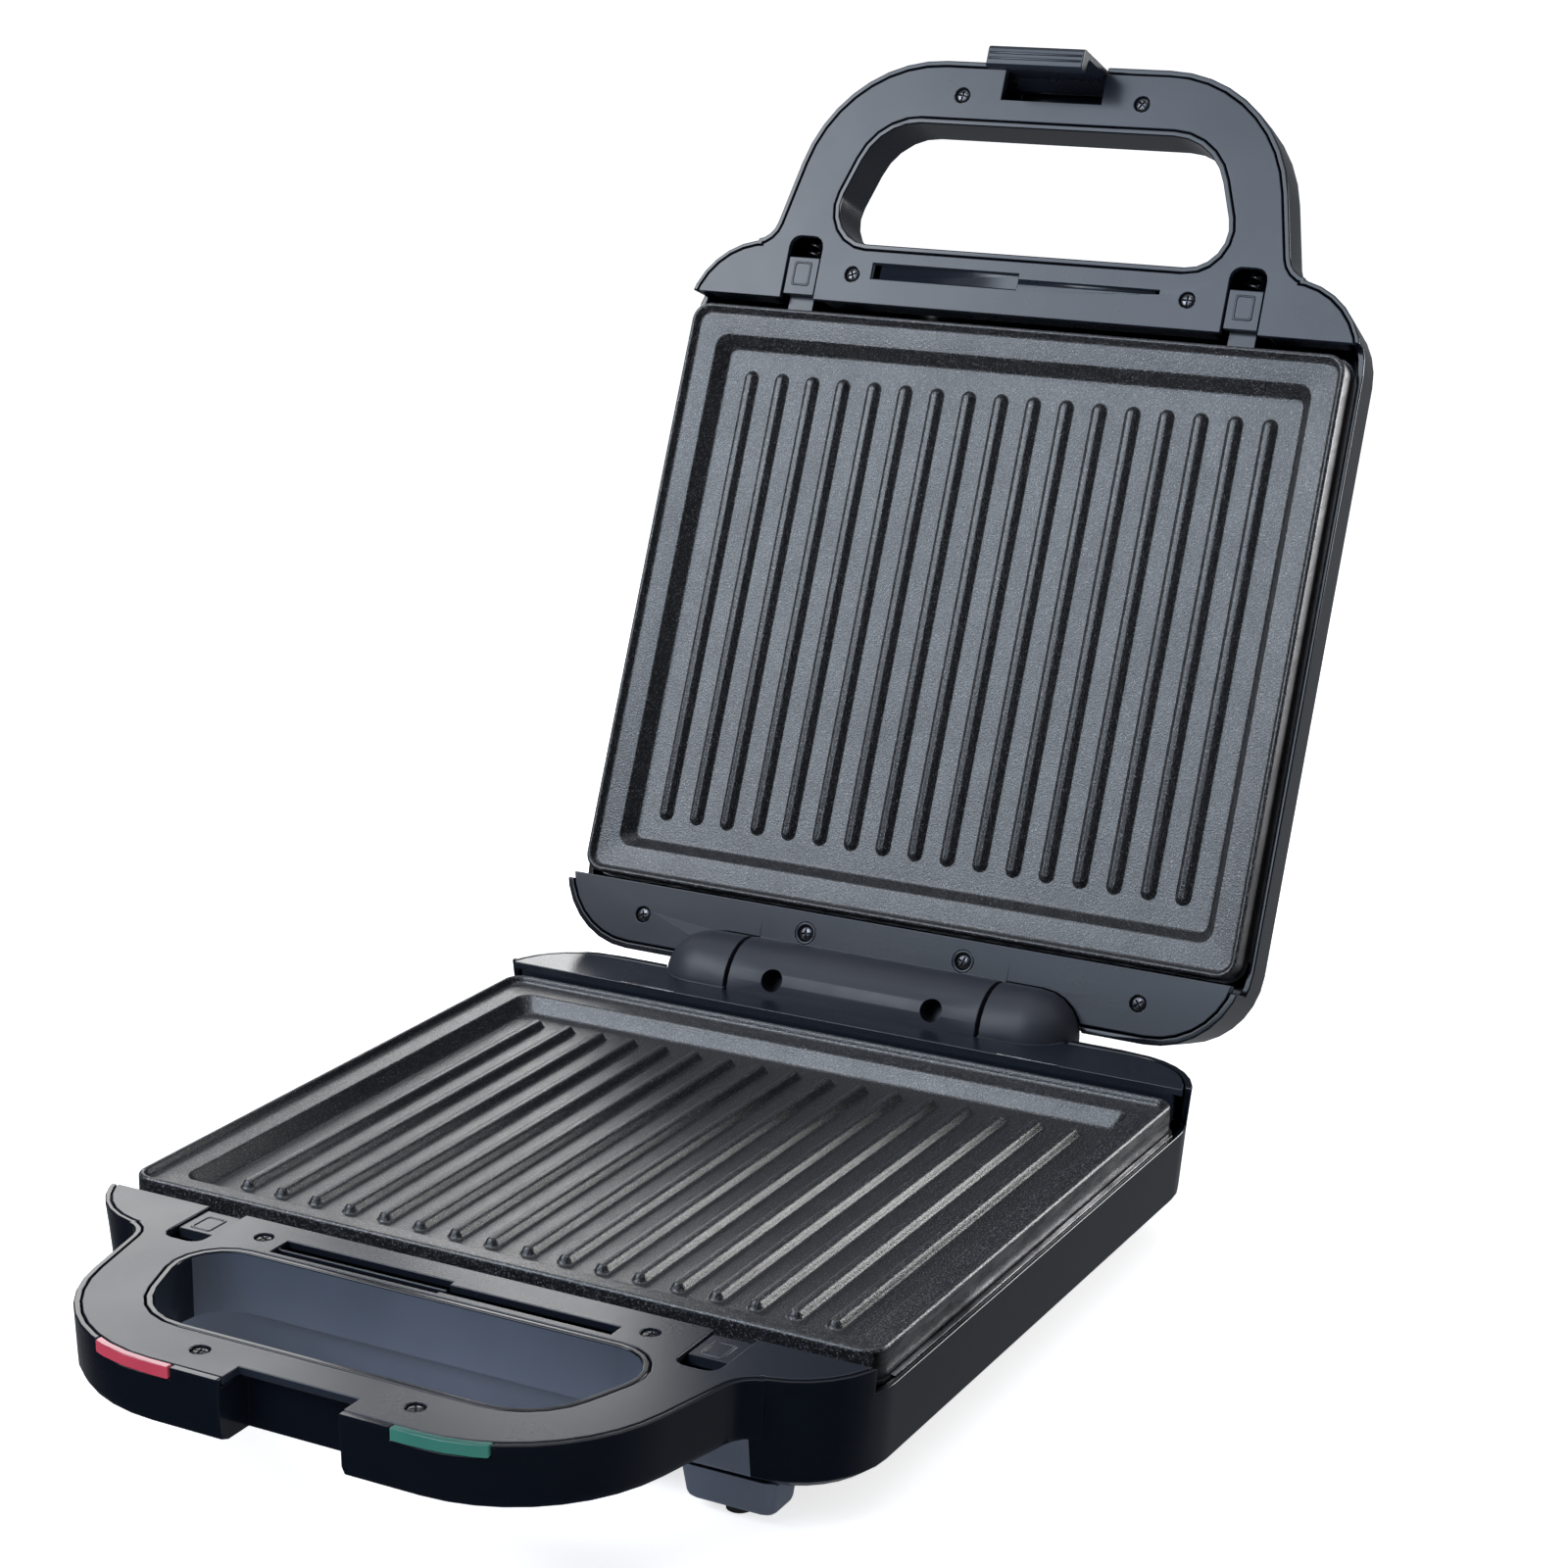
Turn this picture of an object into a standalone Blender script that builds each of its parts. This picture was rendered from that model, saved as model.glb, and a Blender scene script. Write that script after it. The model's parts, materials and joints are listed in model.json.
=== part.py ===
"""Panini press: a hinged contact grill with removable ribbed plates, standing open.

Every size below is in millimetres.  Plan positions are measured from the middle of the grill
plates: +X is the press's right, +Y its hinge side, +Z up from the table.  Both halves are drawn
as lower halves; the upper one is then turned over about the mating plane and swung open.
"""

import math

import bmesh
import bpy
from mathutils import Matrix, Vector

MM = 0.001
ASSEMBLY = "panini_press"

# --- plates ------------------------------------------------------------------------------
RIB_PITCH = 12.4
RIB_COUNT = 17
RIB_WIDTH = 4.8
RIB_HALF_LENGTH = 82.7
PLATE_HALF_WIDTH = 124.2
PLATE_HALF_DEPTH = 105.3
PLATE_CORNER = 6.5
LEDGE_WIDTH = 11.2
TAB_X = 84.0

# --- plan of the housing -----------------------------------------------------------------
SHELL_HALF_WIDTH = 129.0
SHELL_FRONT = -131.0
SHELL_REAR = 130.9
SHELL_CORNER = 30.0
WALL = 2.2
SEAM = 0.4
GAP = 0.3

HANDLE_FRONT = -200.3
HANDLE_CORNER = 51.5
HANDLE_CORNER_X = 42.6
ARM_FLARE = 12.3
FILLET = 8.3
FILLET_X = 106.0
FILLET_Y = -139.0
FILLET_END = 100.4

OPENING_REAR = -131.4
OPENING_FRONT = -176.7
OPENING_REAR_CORNER = 13.4
OPENING_REAR_X = 60.6
OPENING_FRONT_CORNER = 22.0
OPENING_FRONT_X = 48.0
OPENING_FLARE = 18.8
OPENING_WALL = 2.0

# --- heights above the table -------------------------------------------------------------
BASE_BOTTOM = 12.7
LID_BOTTOM = 17.7
HANDLE_BOTTOM = 27.6
SIDE_WALL_TOP = 38.8
WELL_FLOOR = 40.0
RIB_TOP = 42.5
LEDGE = 45.5
RIM = 48.1
FRONT_DECK = 46.3
REAR_DECK = 51.4
MATING_PLANE = 51.9
COVER_THICKNESS = 2.4
FRONT_COVER_EDGE = -109.7
REAR_COVER_EDGE = 106.9
EAR_END = 109.3

# --- hinge -------------------------------------------------------------------------------
HINGE_Y = 134.4
HINGE_Z = 49.4
HINGE_RADIUS = 15.7
HINGE_ROOM = 0.6
BARREL_HALF = 46.9
KNUCKLE_START = 48.3
KNUCKLE_END = 76.9
PIN_RADIUS = 2.5
PIN_GAP = 0.15
OPEN_ANGLE = math.radians(112.4)

# --- lock at the nose of the handle ------------------------------------------------------
NOTCH_HALF = 19.1
NOTCH_BACK = -187.2
CATCH_EDGE = -190.6
NOSE_FLOOR = 30.4
LOCK_HALF = 18.1
LOCK_PIVOT_Y = -196.6
LOCK_PIVOT_Z = 35.0
LOCK_PIN_RADIUS = 1.25

# --- plate-release latches ---------------------------------------------------------------
LATCH_X = 84.3
LATCH_HALF = 6.6
LATCH_SLOT_FRONT = -132.7
LATCH_FRONT = -125.0

# --- fasteners, lenses, feet and wiring --------------------------------------------------
SCREW_HEAD_RADIUS = 2.4
SCREW_SHANK_RADIUS = 1.2
FRONT_SCREWS = ((63.9, -120.0), (34.2, -187.5))
REAR_SCREW = (94.5, 118.0)
BARREL_SCREW = (30.1, 114.5)
BARREL_SCREW_HOLE = 3.9
BOSS_RADIUS = 3.5

LENS_START = 35.0
LENS_END = 62.0
LENS_BOTTOM = 42.9

FOOT_X = 89.8
FOOT_FRONT_Y = -117.0
FOOT_REAR_Y = 116.0
FOOT_RADIUS = 4.2
FOOT_BLOCK_BOTTOM = 2.8

INLET_X = -96.0
INLET_Z = 27.0
INLET_RADIUS = 5.5

PLATE_CENTRE_Y = -42.37

COLOURS = {
    "shell": ((0.012, 0.014, 0.022), 0.12, 0.0),
    "cover": ((0.070, 0.078, 0.100), 0.38, 0.0),
    "coating": ((0.030, 0.031, 0.034), 0.45, 0.0),
    "aluminium": ((0.72, 0.72, 0.73), 0.30, 1.0),
    "steel": ((0.55, 0.55, 0.56), 0.30, 1.0),
    "black_steel": ((0.02, 0.02, 0.02), 0.35, 1.0),
    "element": ((0.16, 0.15, 0.14), 0.50, 1.0),
    "rubber": ((0.015, 0.015, 0.016), 0.75, 0.0),
    "red": ((0.60, 0.05, 0.08), 0.15, 0.0),
    "green": ((0.02, 0.22, 0.14), 0.15, 0.0),
    "glass": ((0.80, 0.80, 0.82), 0.05, 0.0),
    "phenolic": ((0.10, 0.06, 0.04), 0.60, 0.0),
}


# --- scene -------------------------------------------------------------------------------
def clear_scene():
    for old in list(bpy.data.objects):
        bpy.data.objects.remove(old)


def make_collection(name):
    collection = bpy.data.collections.new(name)
    bpy.context.scene.collection.children.link(collection)
    return collection


def make_material(name):
    colour, roughness, metallic = COLOURS[name]
    material = bpy.data.materials.new(name)
    material.use_nodes = True
    shader = material.node_tree.nodes["Principled BSDF"]
    shader.inputs["Base Color"].default_value = (*colour, 1.0)
    shader.inputs["Roughness"].default_value = roughness
    shader.inputs["Metallic"].default_value = metallic
    material.diffuse_color = (*colour, 1.0)
    return material


clear_scene()
PARTS = make_collection(ASSEMBLY)
WORKSHOP = make_collection(ASSEMBLY + "_cutters")
MATERIALS = {name: make_material(name) for name in COLOURS}


def make_empty(name, location, parent=None):
    empty = bpy.data.objects.new(name, None)
    empty.location = Vector(location) * MM
    empty.parent = parent
    PARTS.objects.link(empty)
    return empty


# --- plan outlines: lists of (x, y), counter-clockwise -----------------------------------
def arc(cx, cy, radius, start, end, steps):
    angles = [math.radians(start + (end - start) * i / steps) for i in range(steps + 1)]
    return [(cx + radius * math.cos(a), cy + radius * math.sin(a)) for a in angles]


def circle(cx, cy, radius, steps):
    return arc(cx, cy, radius, 0, 360, steps)[:-1]


def rounded_box(half_width, front, rear, corner, steps=6):
    x = half_width - corner
    return mirrored_outline(
        arc(x, front + corner, corner, -90, 0, steps) + arc(x, rear - corner, corner, 0, 90, steps))


def mirrored_outline(right_side):
    """Close an outline whose right side runs from the front to the rear."""
    return right_side + [(-x, y) for x, y in reversed(right_side)]


def inset(points, distance):
    """Move every side of a counter-clockwise outline inwards by the distance."""
    moved = []
    for i, point in enumerate(points):
        here = Vector(point)
        before = (here - Vector(points[i - 1])).normalized()
        after = (Vector(points[(i + 1) % len(points)]) - here).normalized()
        inward = Vector((-before.y, before.x))
        middle = (inward + Vector((-after.y, after.x))).normalized()
        moved.append(tuple(here + middle * (distance / max(middle.dot(inward), 0.3))))
    return moved


def body_outline():
    return rounded_box(SHELL_HALF_WIDTH, SHELL_FRONT, SHELL_REAR, SHELL_CORNER, 8)


def handle_outline():
    """The D-shaped handle: big front corners, flared arms and a fillet into the body."""
    corner_y = HANDLE_FRONT + HANDLE_CORNER
    corner = arc(HANDLE_CORNER_X, corner_y, HANDLE_CORNER, -90, -ARM_FLARE, 9)
    fillet = arc(FILLET_X, FILLET_Y, FILLET, 180 - ARM_FLARE, FILLET_END, 4)
    return mirrored_outline(corner + fillet + [(fillet[-1][0], SHELL_FRONT + 20.0)])


def opening_outline():
    """The hand opening: a rounded trapezoid, wider on the plate side."""
    front, rear = OPENING_FRONT_CORNER, OPENING_REAR_CORNER
    return mirrored_outline(
        arc(OPENING_FRONT_X, OPENING_FRONT + front, front, -90, -OPENING_FLARE, 5)
        + arc(OPENING_REAR_X, OPENING_REAR - rear, rear, -OPENING_FLARE, 90, 6))


# --- solids ------------------------------------------------------------------------------
def solid(bm):
    """Wrap a mesh drawn in millimetres in a loose object, sized in metres."""
    bmesh.ops.recalc_face_normals(bm, faces=bm.faces)
    bmesh.ops.scale(bm, vec=(MM, MM, MM), verts=bm.verts)
    mesh = bpy.data.meshes.new("solid")
    bm.to_mesh(mesh)
    bm.free()
    piece = bpy.data.objects.new("solid", mesh)
    WORKSHOP.objects.link(piece)
    return piece


def drawing_of(piece):
    """A solid's mesh back in millimetres, to change and wrap again."""
    bm = bmesh.new()
    bm.from_mesh(piece.data)
    bmesh.ops.scale(bm, vec=(1 / MM, 1 / MM, 1 / MM), verts=bm.verts)
    return bm


def prism(points, bottom, top):
    bm = bmesh.new()
    face = bm.faces.new([bm.verts.new((x, y, bottom)) for x, y in points])
    raised = bmesh.ops.extrude_face_region(bm, geom=[face])["geom"]
    corners = [item for item in raised if isinstance(item, bmesh.types.BMVert)]
    bmesh.ops.translate(bm, vec=(0.0, 0.0, top - bottom), verts=corners)
    return solid(bm)


def side_prism(points, half_width):
    """A prism across the press, from an outline of (y, z) points."""
    flat = prism(points, -half_width, half_width)
    bm = drawing_of(flat)
    bpy.data.objects.remove(flat)
    across = Matrix(((0, 0, 1, 0), (1, 0, 0, 0), (0, 1, 0, 0), (0, 0, 0, 1)))
    bmesh.ops.transform(bm, matrix=across, verts=bm.verts)
    return solid(bm)


def loft(sections):
    """Join outlines of equal point count, each a (points, z) pair, into one closed solid."""
    bm = bmesh.new()
    rings = [[bm.verts.new((x, y, z)) for x, y in points] for points, z in sections]
    for low, high in zip(rings, rings[1:]):
        for i in range(len(low)):
            j = (i + 1) % len(low)
            bm.faces.new((low[i], low[j], high[j], high[i]))
    bm.faces.new(rings[0][::-1])
    bm.faces.new(rings[-1])
    return solid(bm)


def box(x, y, z):
    """A block between the low and high ends given for each axis."""
    bm = bmesh.new()
    size = Matrix.Diagonal((x[1] - x[0], y[1] - y[0], z[1] - z[0], 1.0))
    middle = Matrix.Translation([sum(ends) / 2 for ends in (x, y, z)])
    bmesh.ops.create_cube(bm, size=1.0, matrix=middle @ size)
    return solid(bm)


def rod(start, end, radius, segments=16, end_radius=None):
    """A cylinder, or a cone, between two points."""
    start, end = Vector(start), Vector(end)
    turn = (end - start).to_track_quat("Z", "Y").to_matrix().to_4x4()
    bm = bmesh.new()
    bmesh.ops.create_cone(
        bm, cap_ends=True, segments=segments, radius1=radius,
        radius2=radius if end_radius is None else end_radius, depth=(end - start).length,
        matrix=Matrix.Translation((start + end) / 2) @ turn)
    return solid(bm)


def turned_on_hinge(profile, z, segments=24):
    """Spin a profile of (radius, x) points about the hinge line, drawn at height z."""
    bm = bmesh.new()
    points = [bm.verts.new((radius, 0.0, along)) for radius, along in profile]
    edges = [bm.edges.new(pair) for pair in zip(points, points[1:])]
    bmesh.ops.spin(bm, geom=points + edges, cent=(0, 0, 0), axis=(0, 0, 1),
                   angle=2 * math.pi, steps=segments, use_merge=True)
    bmesh.ops.remove_doubles(bm, verts=bm.verts, dist=0.001)
    place = Matrix.Translation((0.0, HINGE_Y, z)) @ Matrix.Rotation(math.pi / 2, 4, "Y")
    bmesh.ops.transform(bm, matrix=place, verts=bm.verts)
    return solid(bm)


def tube(points, radius, resolution=2):
    """A bent wire of round section along the points, welded shut at its ends."""
    curve = bpy.data.curves.new("tube", "CURVE")
    curve.dimensions = "3D"
    curve.bevel_depth = radius * MM
    curve.bevel_resolution = resolution
    curve.use_fill_caps = True
    spline = curve.splines.new("POLY")
    spline.points.add(len(points) - 1)
    for spline_point, point in zip(spline.points, points):
        spline_point.co = (*(Vector(point) * MM), 1.0)
    wire = bpy.data.objects.new("tube", curve)
    WORKSHOP.objects.link(wire)
    shaped = wire.evaluated_get(bpy.context.evaluated_depsgraph_get())
    piece = bpy.data.objects.new("solid", bpy.data.meshes.new_from_object(shaped))
    bpy.data.objects.remove(wire)
    bm = drawing_of(piece)
    bpy.data.objects.remove(piece)
    bmesh.ops.remove_doubles(bm, verts=bm.verts, dist=0.01)
    return solid(bm)


def mirrored(piece):
    """A copy of a solid on the other side of the press."""
    bm = drawing_of(piece)
    bmesh.ops.scale(bm, vec=(-1, 1, 1), verts=bm.verts)
    return solid(bm)


def group(pieces):
    """Gather solids that don't touch each other into one tool."""
    bm = bmesh.new()
    for piece in pieces:
        bm.from_mesh(piece.data)
        bpy.data.objects.remove(piece)
    bmesh.ops.scale(bm, vec=(1 / MM, 1 / MM, 1 / MM), verts=bm.verts)
    return solid(bm)


def on_both_sides(*pieces):
    return group([*pieces, *map(mirrored, pieces)])


def boolean(piece, tool, operation):
    """Apply one Boolean; EXACT loses the shells where the handle's fillet meets the body."""
    change = piece.modifiers.new(operation, "BOOLEAN")
    change.operation = operation
    change.solver = "MANIFOLD"
    change.object = tool
    shaped = piece.evaluated_get(bpy.context.evaluated_depsgraph_get())
    mesh = bpy.data.meshes.new_from_object(shaped)
    piece.modifiers.clear()
    piece.data = mesh
    bpy.data.objects.remove(tool)
    return piece


def join(piece, *others):
    for other in others:
        boolean(piece, other, "UNION")
    return piece


def cut(piece, *tools):
    for tool in tools:
        boolean(piece, tool, "DIFFERENCE")
    return piece


def keep(piece, tool):
    return boolean(piece, tool, "INTERSECT")


# --- hinge line --------------------------------------------------------------------------
def capsule(start, end, radius, z):
    """A bar on the hinge line with a flat inner end and a round outer end."""
    shaft_end = end - radius
    nose = [(radius * math.cos(a), shaft_end + radius * math.sin(a))
            for a in [math.radians(15 * i) for i in range(6)]]
    return turned_on_hinge([(0.0, start), (radius, start)] + nose + [(0.0, end)], z)


def knuckle_room(z):
    """What an upper part leaves free round both knuckles."""
    return on_both_sides(
        capsule(KNUCKLE_START - 1.0, KNUCKLE_END + HINGE_ROOM, HINGE_RADIUS + HINGE_ROOM, z))


def hinge_room(z):
    """What a shell leaves free round the whole hinge line."""
    right = capsule(-1.0, KNUCKLE_END + HINGE_ROOM, HINGE_RADIUS + HINGE_ROOM, z)
    left = mirrored(right)
    return join(right, left)


def hinge_bar(half_length, radius, z, segments=24):
    return rod((-half_length, HINGE_Y, z), (half_length, HINGE_Y, z), radius, segments)


def pin_bores(start, end, z):
    bore = rod((start, HINGE_Y, z), (end, HINGE_Y, z), PIN_RADIUS + PIN_GAP, 12)
    return on_both_sides(bore)


# --- shells ------------------------------------------------------------------------------
def drafted_body(bottom):
    outline = body_outline()
    return loft([
        (inset(outline, 8.0), bottom),
        (inset(outline, 3.2), bottom + 3.5),
        (inset(outline, 1.3), SIDE_WALL_TOP),
        (outline, REAR_DECK)])


def drafted_handle():
    outline = handle_outline()
    return loft([
        (inset(outline, 4.4), HANDLE_BOTTOM),
        (inset(outline, 2.0), HANDLE_BOTTOM + 0.9),
        (inset(outline, 0.8), HANDLE_BOTTOM + 3.4),
        (outline, REAR_DECK + 2.0)])


def body_cavity(bottom):
    outline = body_outline()
    return loft([
        (inset(outline, WALL + 6.8), bottom + 2.5),
        (inset(outline, WALL + 3.0), bottom + 6.5),
        (inset(outline, WALL), REAR_DECK + 1.0)])


def opening_ring(shrink):
    return prism(inset(opening_outline(), -shrink), 0.0, 60.0)


def handle_cavity():
    """The hollow of the handle, which keeps the walls round the opening and the nose."""
    hollow = prism(inset(handle_outline(), WALL + 1.0), HANDLE_BOTTOM + 2.5, FRONT_DECK + 1.0)
    body_front = box((-74.0, 74.0), (OPENING_REAR - 1.0, -90.0), (0.0, 60.0))
    nose = box((-NOTCH_HALF - 2.6, NOTCH_HALF + 2.6), (-230.0, NOTCH_BACK + 2.2), (0.0, 60.0))
    return cut(hollow, opening_ring(OPENING_WALL), body_front, nose)


def deck_area(shrink, bottom, top):
    """The front deck inside the shell's rim, from the nose of the handle to the plate."""
    return join(
        prism(inset(handle_outline(), shrink), bottom, top),
        prism(inset(body_outline(), shrink), bottom, top))


def shell(bottom, nose_floor, hinge_z):
    """One half of the housing; the nose of its handle is cut down to nose_floor."""
    piece = join(drafted_body(bottom), drafted_handle())
    cut(piece, box((-140, 140), (-230, -60), (FRONT_DECK, 70)))
    cut(piece, body_cavity(bottom), handle_cavity())
    seat = deck_area(WALL, FRONT_DECK - COVER_THICKNESS - GAP, 60.0)
    cut(seat, opening_ring(OPENING_WALL), box((-140, 140), (-60, 160), (0, 80)))
    cut(piece, seat, prism(opening_outline(), 0.0, 60.0))
    cut(piece, box((-NOTCH_HALF, NOTCH_HALF), (-230.0, NOTCH_BACK), (nose_floor, 60.0)))
    side = box((PLATE_HALF_WIDTH, 140), (FRONT_COVER_EDGE, EAR_END), (SIDE_WALL_TOP, 70))
    return cut(piece, on_both_sides(side), hinge_room(hinge_z))


def screw_posts(places, top, bottom, handle_floor=HANDLE_BOTTOM + 1.5):
    """Posts that stand on the shell's floor under the screws."""
    floors = [bottom + 1.5 if y > SHELL_FRONT else handle_floor for x, y in places]
    return on_both_sides(*[rod((x, y, floor), (x, y, top), BOSS_RADIUS, 12)
                           for (x, y), floor in zip(places, floors)])


def screw_holes(places, bottom, top, radius):
    return on_both_sides(*[rod((x, y, bottom), (x, y, top), radius, 12) for x, y in places])


def spring_stops():
    """The walls that the latch springs push against."""
    stop = box((LATCH_X - 4, LATCH_X + 4), (-146.0, -143.8), (HANDLE_BOTTOM + 1.0, 43.4))
    return on_both_sides(stop)


def foot_block(y):
    """A tapered block under one corner, which carries a rubber foot."""
    def section(half_width, half_depth):
        return [(FOOT_X + px, y + py) for px, py in rounded_box(half_width, -half_depth, half_depth, 3.0, 3)]
    return loft([
        (section(12.6, 6.0), FOOT_BLOCK_BOTTOM),
        (section(13.6, 7.0), FOOT_BLOCK_BOTTOM + 1.2),
        (section(14.6, 8.6), BASE_BOTTOM + 1.5)])


def base_shell():
    piece = shell(BASE_BOTTOM, 0.0, HINGE_Z)
    join(piece, screw_posts(FRONT_SCREWS, FRONT_DECK - 4.6, BASE_BOTTOM), spring_stops())
    cut(piece, screw_holes(FRONT_SCREWS, 31.5, 60.0, SCREW_SHANK_RADIUS + GAP))
    join(piece, on_both_sides(foot_block(FOOT_FRONT_Y), foot_block(FOOT_REAR_Y)))
    pegs = [rod((FOOT_X, y, 0), (FOOT_X, y, FOOT_BLOCK_BOTTOM + 2.2), FOOT_RADIUS - 0.6, 16)
            for y in (FOOT_FRONT_Y, FOOT_REAR_Y)]
    vents = [box((x, x + 3.0), (-60.0, -20.0), (0.0, 20.0)) for x in (20.0, 32.0, 44.0, 56.0)]
    inlet = rod((INLET_X, 120.0, INLET_Z), (INLET_X, 140.0, INLET_Z), INLET_RADIUS + GAP, 16)
    return cut(piece, on_both_sides(*pegs), on_both_sides(*vents), lens_slots(), inlet)


def lid_shell():
    piece = shell(LID_BOTTOM, NOSE_FLOOR, LID_HINGE_Z)
    join(piece, screw_posts(FRONT_SCREWS, FRONT_DECK - 4.6, LID_BOTTOM), spring_stops(),
         screw_posts([REAR_SCREW], REAR_DECK - 4.6, LID_BOTTOM),
         screw_posts([BARREL_SCREW], REAR_DECK - 8.0, LID_BOTTOM))
    places = [*FRONT_SCREWS, REAR_SCREW, BARREL_SCREW]
    cut(piece, screw_holes(places, 31.5, 60.0, SCREW_SHANK_RADIUS + GAP))
    half = NOTCH_HALF + 2.0
    pin_room = rod((-half, LOCK_PIVOT_Y, LOCK_PIVOT_Z), (half, LOCK_PIVOT_Y, LOCK_PIVOT_Z),
                   LOCK_PIN_RADIUS + GAP, 12)
    return cut(piece, pin_room)


# --- covers ------------------------------------------------------------------------------
def latch_slots():
    """U-shaped slots in the deck, open towards the plate."""
    half = LATCH_HALF
    outline = (
        [(LATCH_X + half, -100.0), (LATCH_X - half, -100.0)]
        + arc(LATCH_X - half + 4.0, LATCH_SLOT_FRONT + 4.0, 4.0, 180, 270, 4)
        + arc(LATCH_X + half - 4.0, LATCH_SLOT_FRONT + 4.0, 4.0, 270, 360, 4))
    return on_both_sides(prism(outline, 43.0, 60.0))


def front_cover(notch_back):
    bottom = FRONT_DECK - COVER_THICKNESS
    piece = deck_area(WALL + SEAM, bottom, FRONT_DECK)
    cut(piece, box((-140, 140), (FRONT_COVER_EDGE, 160), (0, 80)))
    skirt = box((-121.0, 121.0), (FRONT_COVER_EDGE - 2.0, FRONT_COVER_EDGE), (36.0, bottom + 1.0))
    pads = screw_holes(FRONT_SCREWS, bottom - 1.8, bottom + 1.0, 4.2)
    join(piece, skirt, pads)
    cut(piece, opening_ring(OPENING_WALL + SEAM))
    cut(piece, box((-NOTCH_HALF, NOTCH_HALF), (-230.0, notch_back), (0.0, 60.0)))
    cut(piece, screw_holes(FRONT_SCREWS, bottom - 0.6, 60.0, SCREW_HEAD_RADIUS + 0.45))
    cut(piece, screw_holes(FRONT_SCREWS, bottom - 9.0, 60.0, SCREW_SHANK_RADIUS + GAP))
    window = box((LATCH_X - 10.0, LATCH_X + 10.0), (-113.0, -105.0), (30.0, bottom))
    return cut(piece, latch_slots(), on_both_sides(window))


def base_handle_cover():
    """The front cover with its stepped slot, which has a ridge in the wide half."""
    piece = front_cover(CATCH_EDGE)
    wide = box((-56.4, 0.0), (-127.2, -118.7), (40.0, 60.0))
    narrow = box((-1.0, 55.2), (-126.2, -120.9), (40.0, 60.0))
    ridge = box((-57.0, 0.6), (-123.4, -122.6), (FRONT_DECK - 2.2, FRONT_DECK - 0.8))
    cut(piece, join(wide, narrow))
    return join(piece, ridge)


def lid_handle_cover():
    piece = front_cover(NOTCH_BACK + 0.4)
    wide = box((-56.4, 0.4), (-124.6, -119.0), (FRONT_DECK - 0.9, 60.0))
    narrow = box((-1.0, 53.4), (-122.6, -121.2), (FRONT_DECK - 0.9, 60.0))
    return cut(piece, join(wide, narrow))


def rear_cover():
    """The strip between the plate and the hinge, without any hinge part."""
    bottom = REAR_DECK - COVER_THICKNESS
    piece = prism(inset(body_outline(), WALL + SEAM + 0.3), bottom, REAR_DECK)
    cut(piece, box((-140, 140), (-160, REAR_COVER_EDGE), (0, 80)))
    skirt = box((-122.0, 122.0), (REAR_COVER_EDGE, REAR_COVER_EDGE + 2.0), (39.4, bottom + 1.0))
    join(piece, skirt)
    slot = box((TAB_X - 10.0, TAB_X + 10.0), (100.0, 112.0), (40.6, 43.4))
    return cut(piece, on_both_sides(slot))


def base_rear_cover():
    """The lower strip with the two bullet-shaped hinge knuckles."""
    piece = cut(rear_cover(), hinge_bar(KNUCKLE_START - 0.4, HINGE_RADIUS + HINGE_ROOM + 0.2, HINGE_Z))
    knuckle = capsule(KNUCKLE_START, KNUCKLE_END, HINGE_RADIUS, HINGE_Z)
    join(piece, on_both_sides(knuckle))
    return cut(piece, pin_bores(KNUCKLE_START - 1.0, KNUCKLE_START + 9.0, HINGE_Z))


def lid_rear_cover():
    """The upper strip with the hinge barrel; the hinge line is drawn above the mating plane."""
    piece = cut(rear_cover(), knuckle_room(LID_HINGE_Z))
    bottom = REAR_DECK - COVER_THICKNESS
    pads = [screw_holes([REAR_SCREW], bottom - 1.8, bottom + 1.0, 4.2),
            screw_holes([BARREL_SCREW], bottom - 5.2, bottom + 1.0, 5.2)]
    join(piece, hinge_bar(BARREL_HALF, HINGE_RADIUS, LID_HINGE_Z), *pads)
    cut(piece, screw_holes([REAR_SCREW], bottom - 0.6, 60.0, SCREW_HEAD_RADIUS + 0.45))
    cut(piece, screw_holes([BARREL_SCREW], bottom - 4.0, 80.0, BARREL_SCREW_HOLE))
    cut(piece, screw_holes([REAR_SCREW, BARREL_SCREW], 35.0, 60.0, SCREW_SHANK_RADIUS + GAP))
    return cut(piece, pin_bores(BARREL_HALF - 7.0, BARREL_HALF + 1.0, LID_HINGE_Z))


# --- plates, trays and heating -----------------------------------------------------------
def plate_section(inwards, corner, z):
    half_width = PLATE_HALF_WIDTH - inwards
    half_depth = PLATE_HALF_DEPTH - inwards
    return rounded_box(half_width, -half_depth, half_depth, corner, 4), z


def rib(x):
    """A raised bar with a round top and round ends."""
    half = RIB_WIDTH / 2
    sections = []
    for inwards, z in ((0.0, WELL_FLOOR - 0.6), (0.3, WELL_FLOOR + 1.5), (1.6, RIB_TOP)):
        reach = RIB_HALF_LENGTH - inwards
        outline = rounded_box(half - inwards, -reach, reach, half - inwards - 0.01, 2)
        sections.append(([(x + px, py) for px, py in outline], z))
    return loft(sections)


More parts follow.
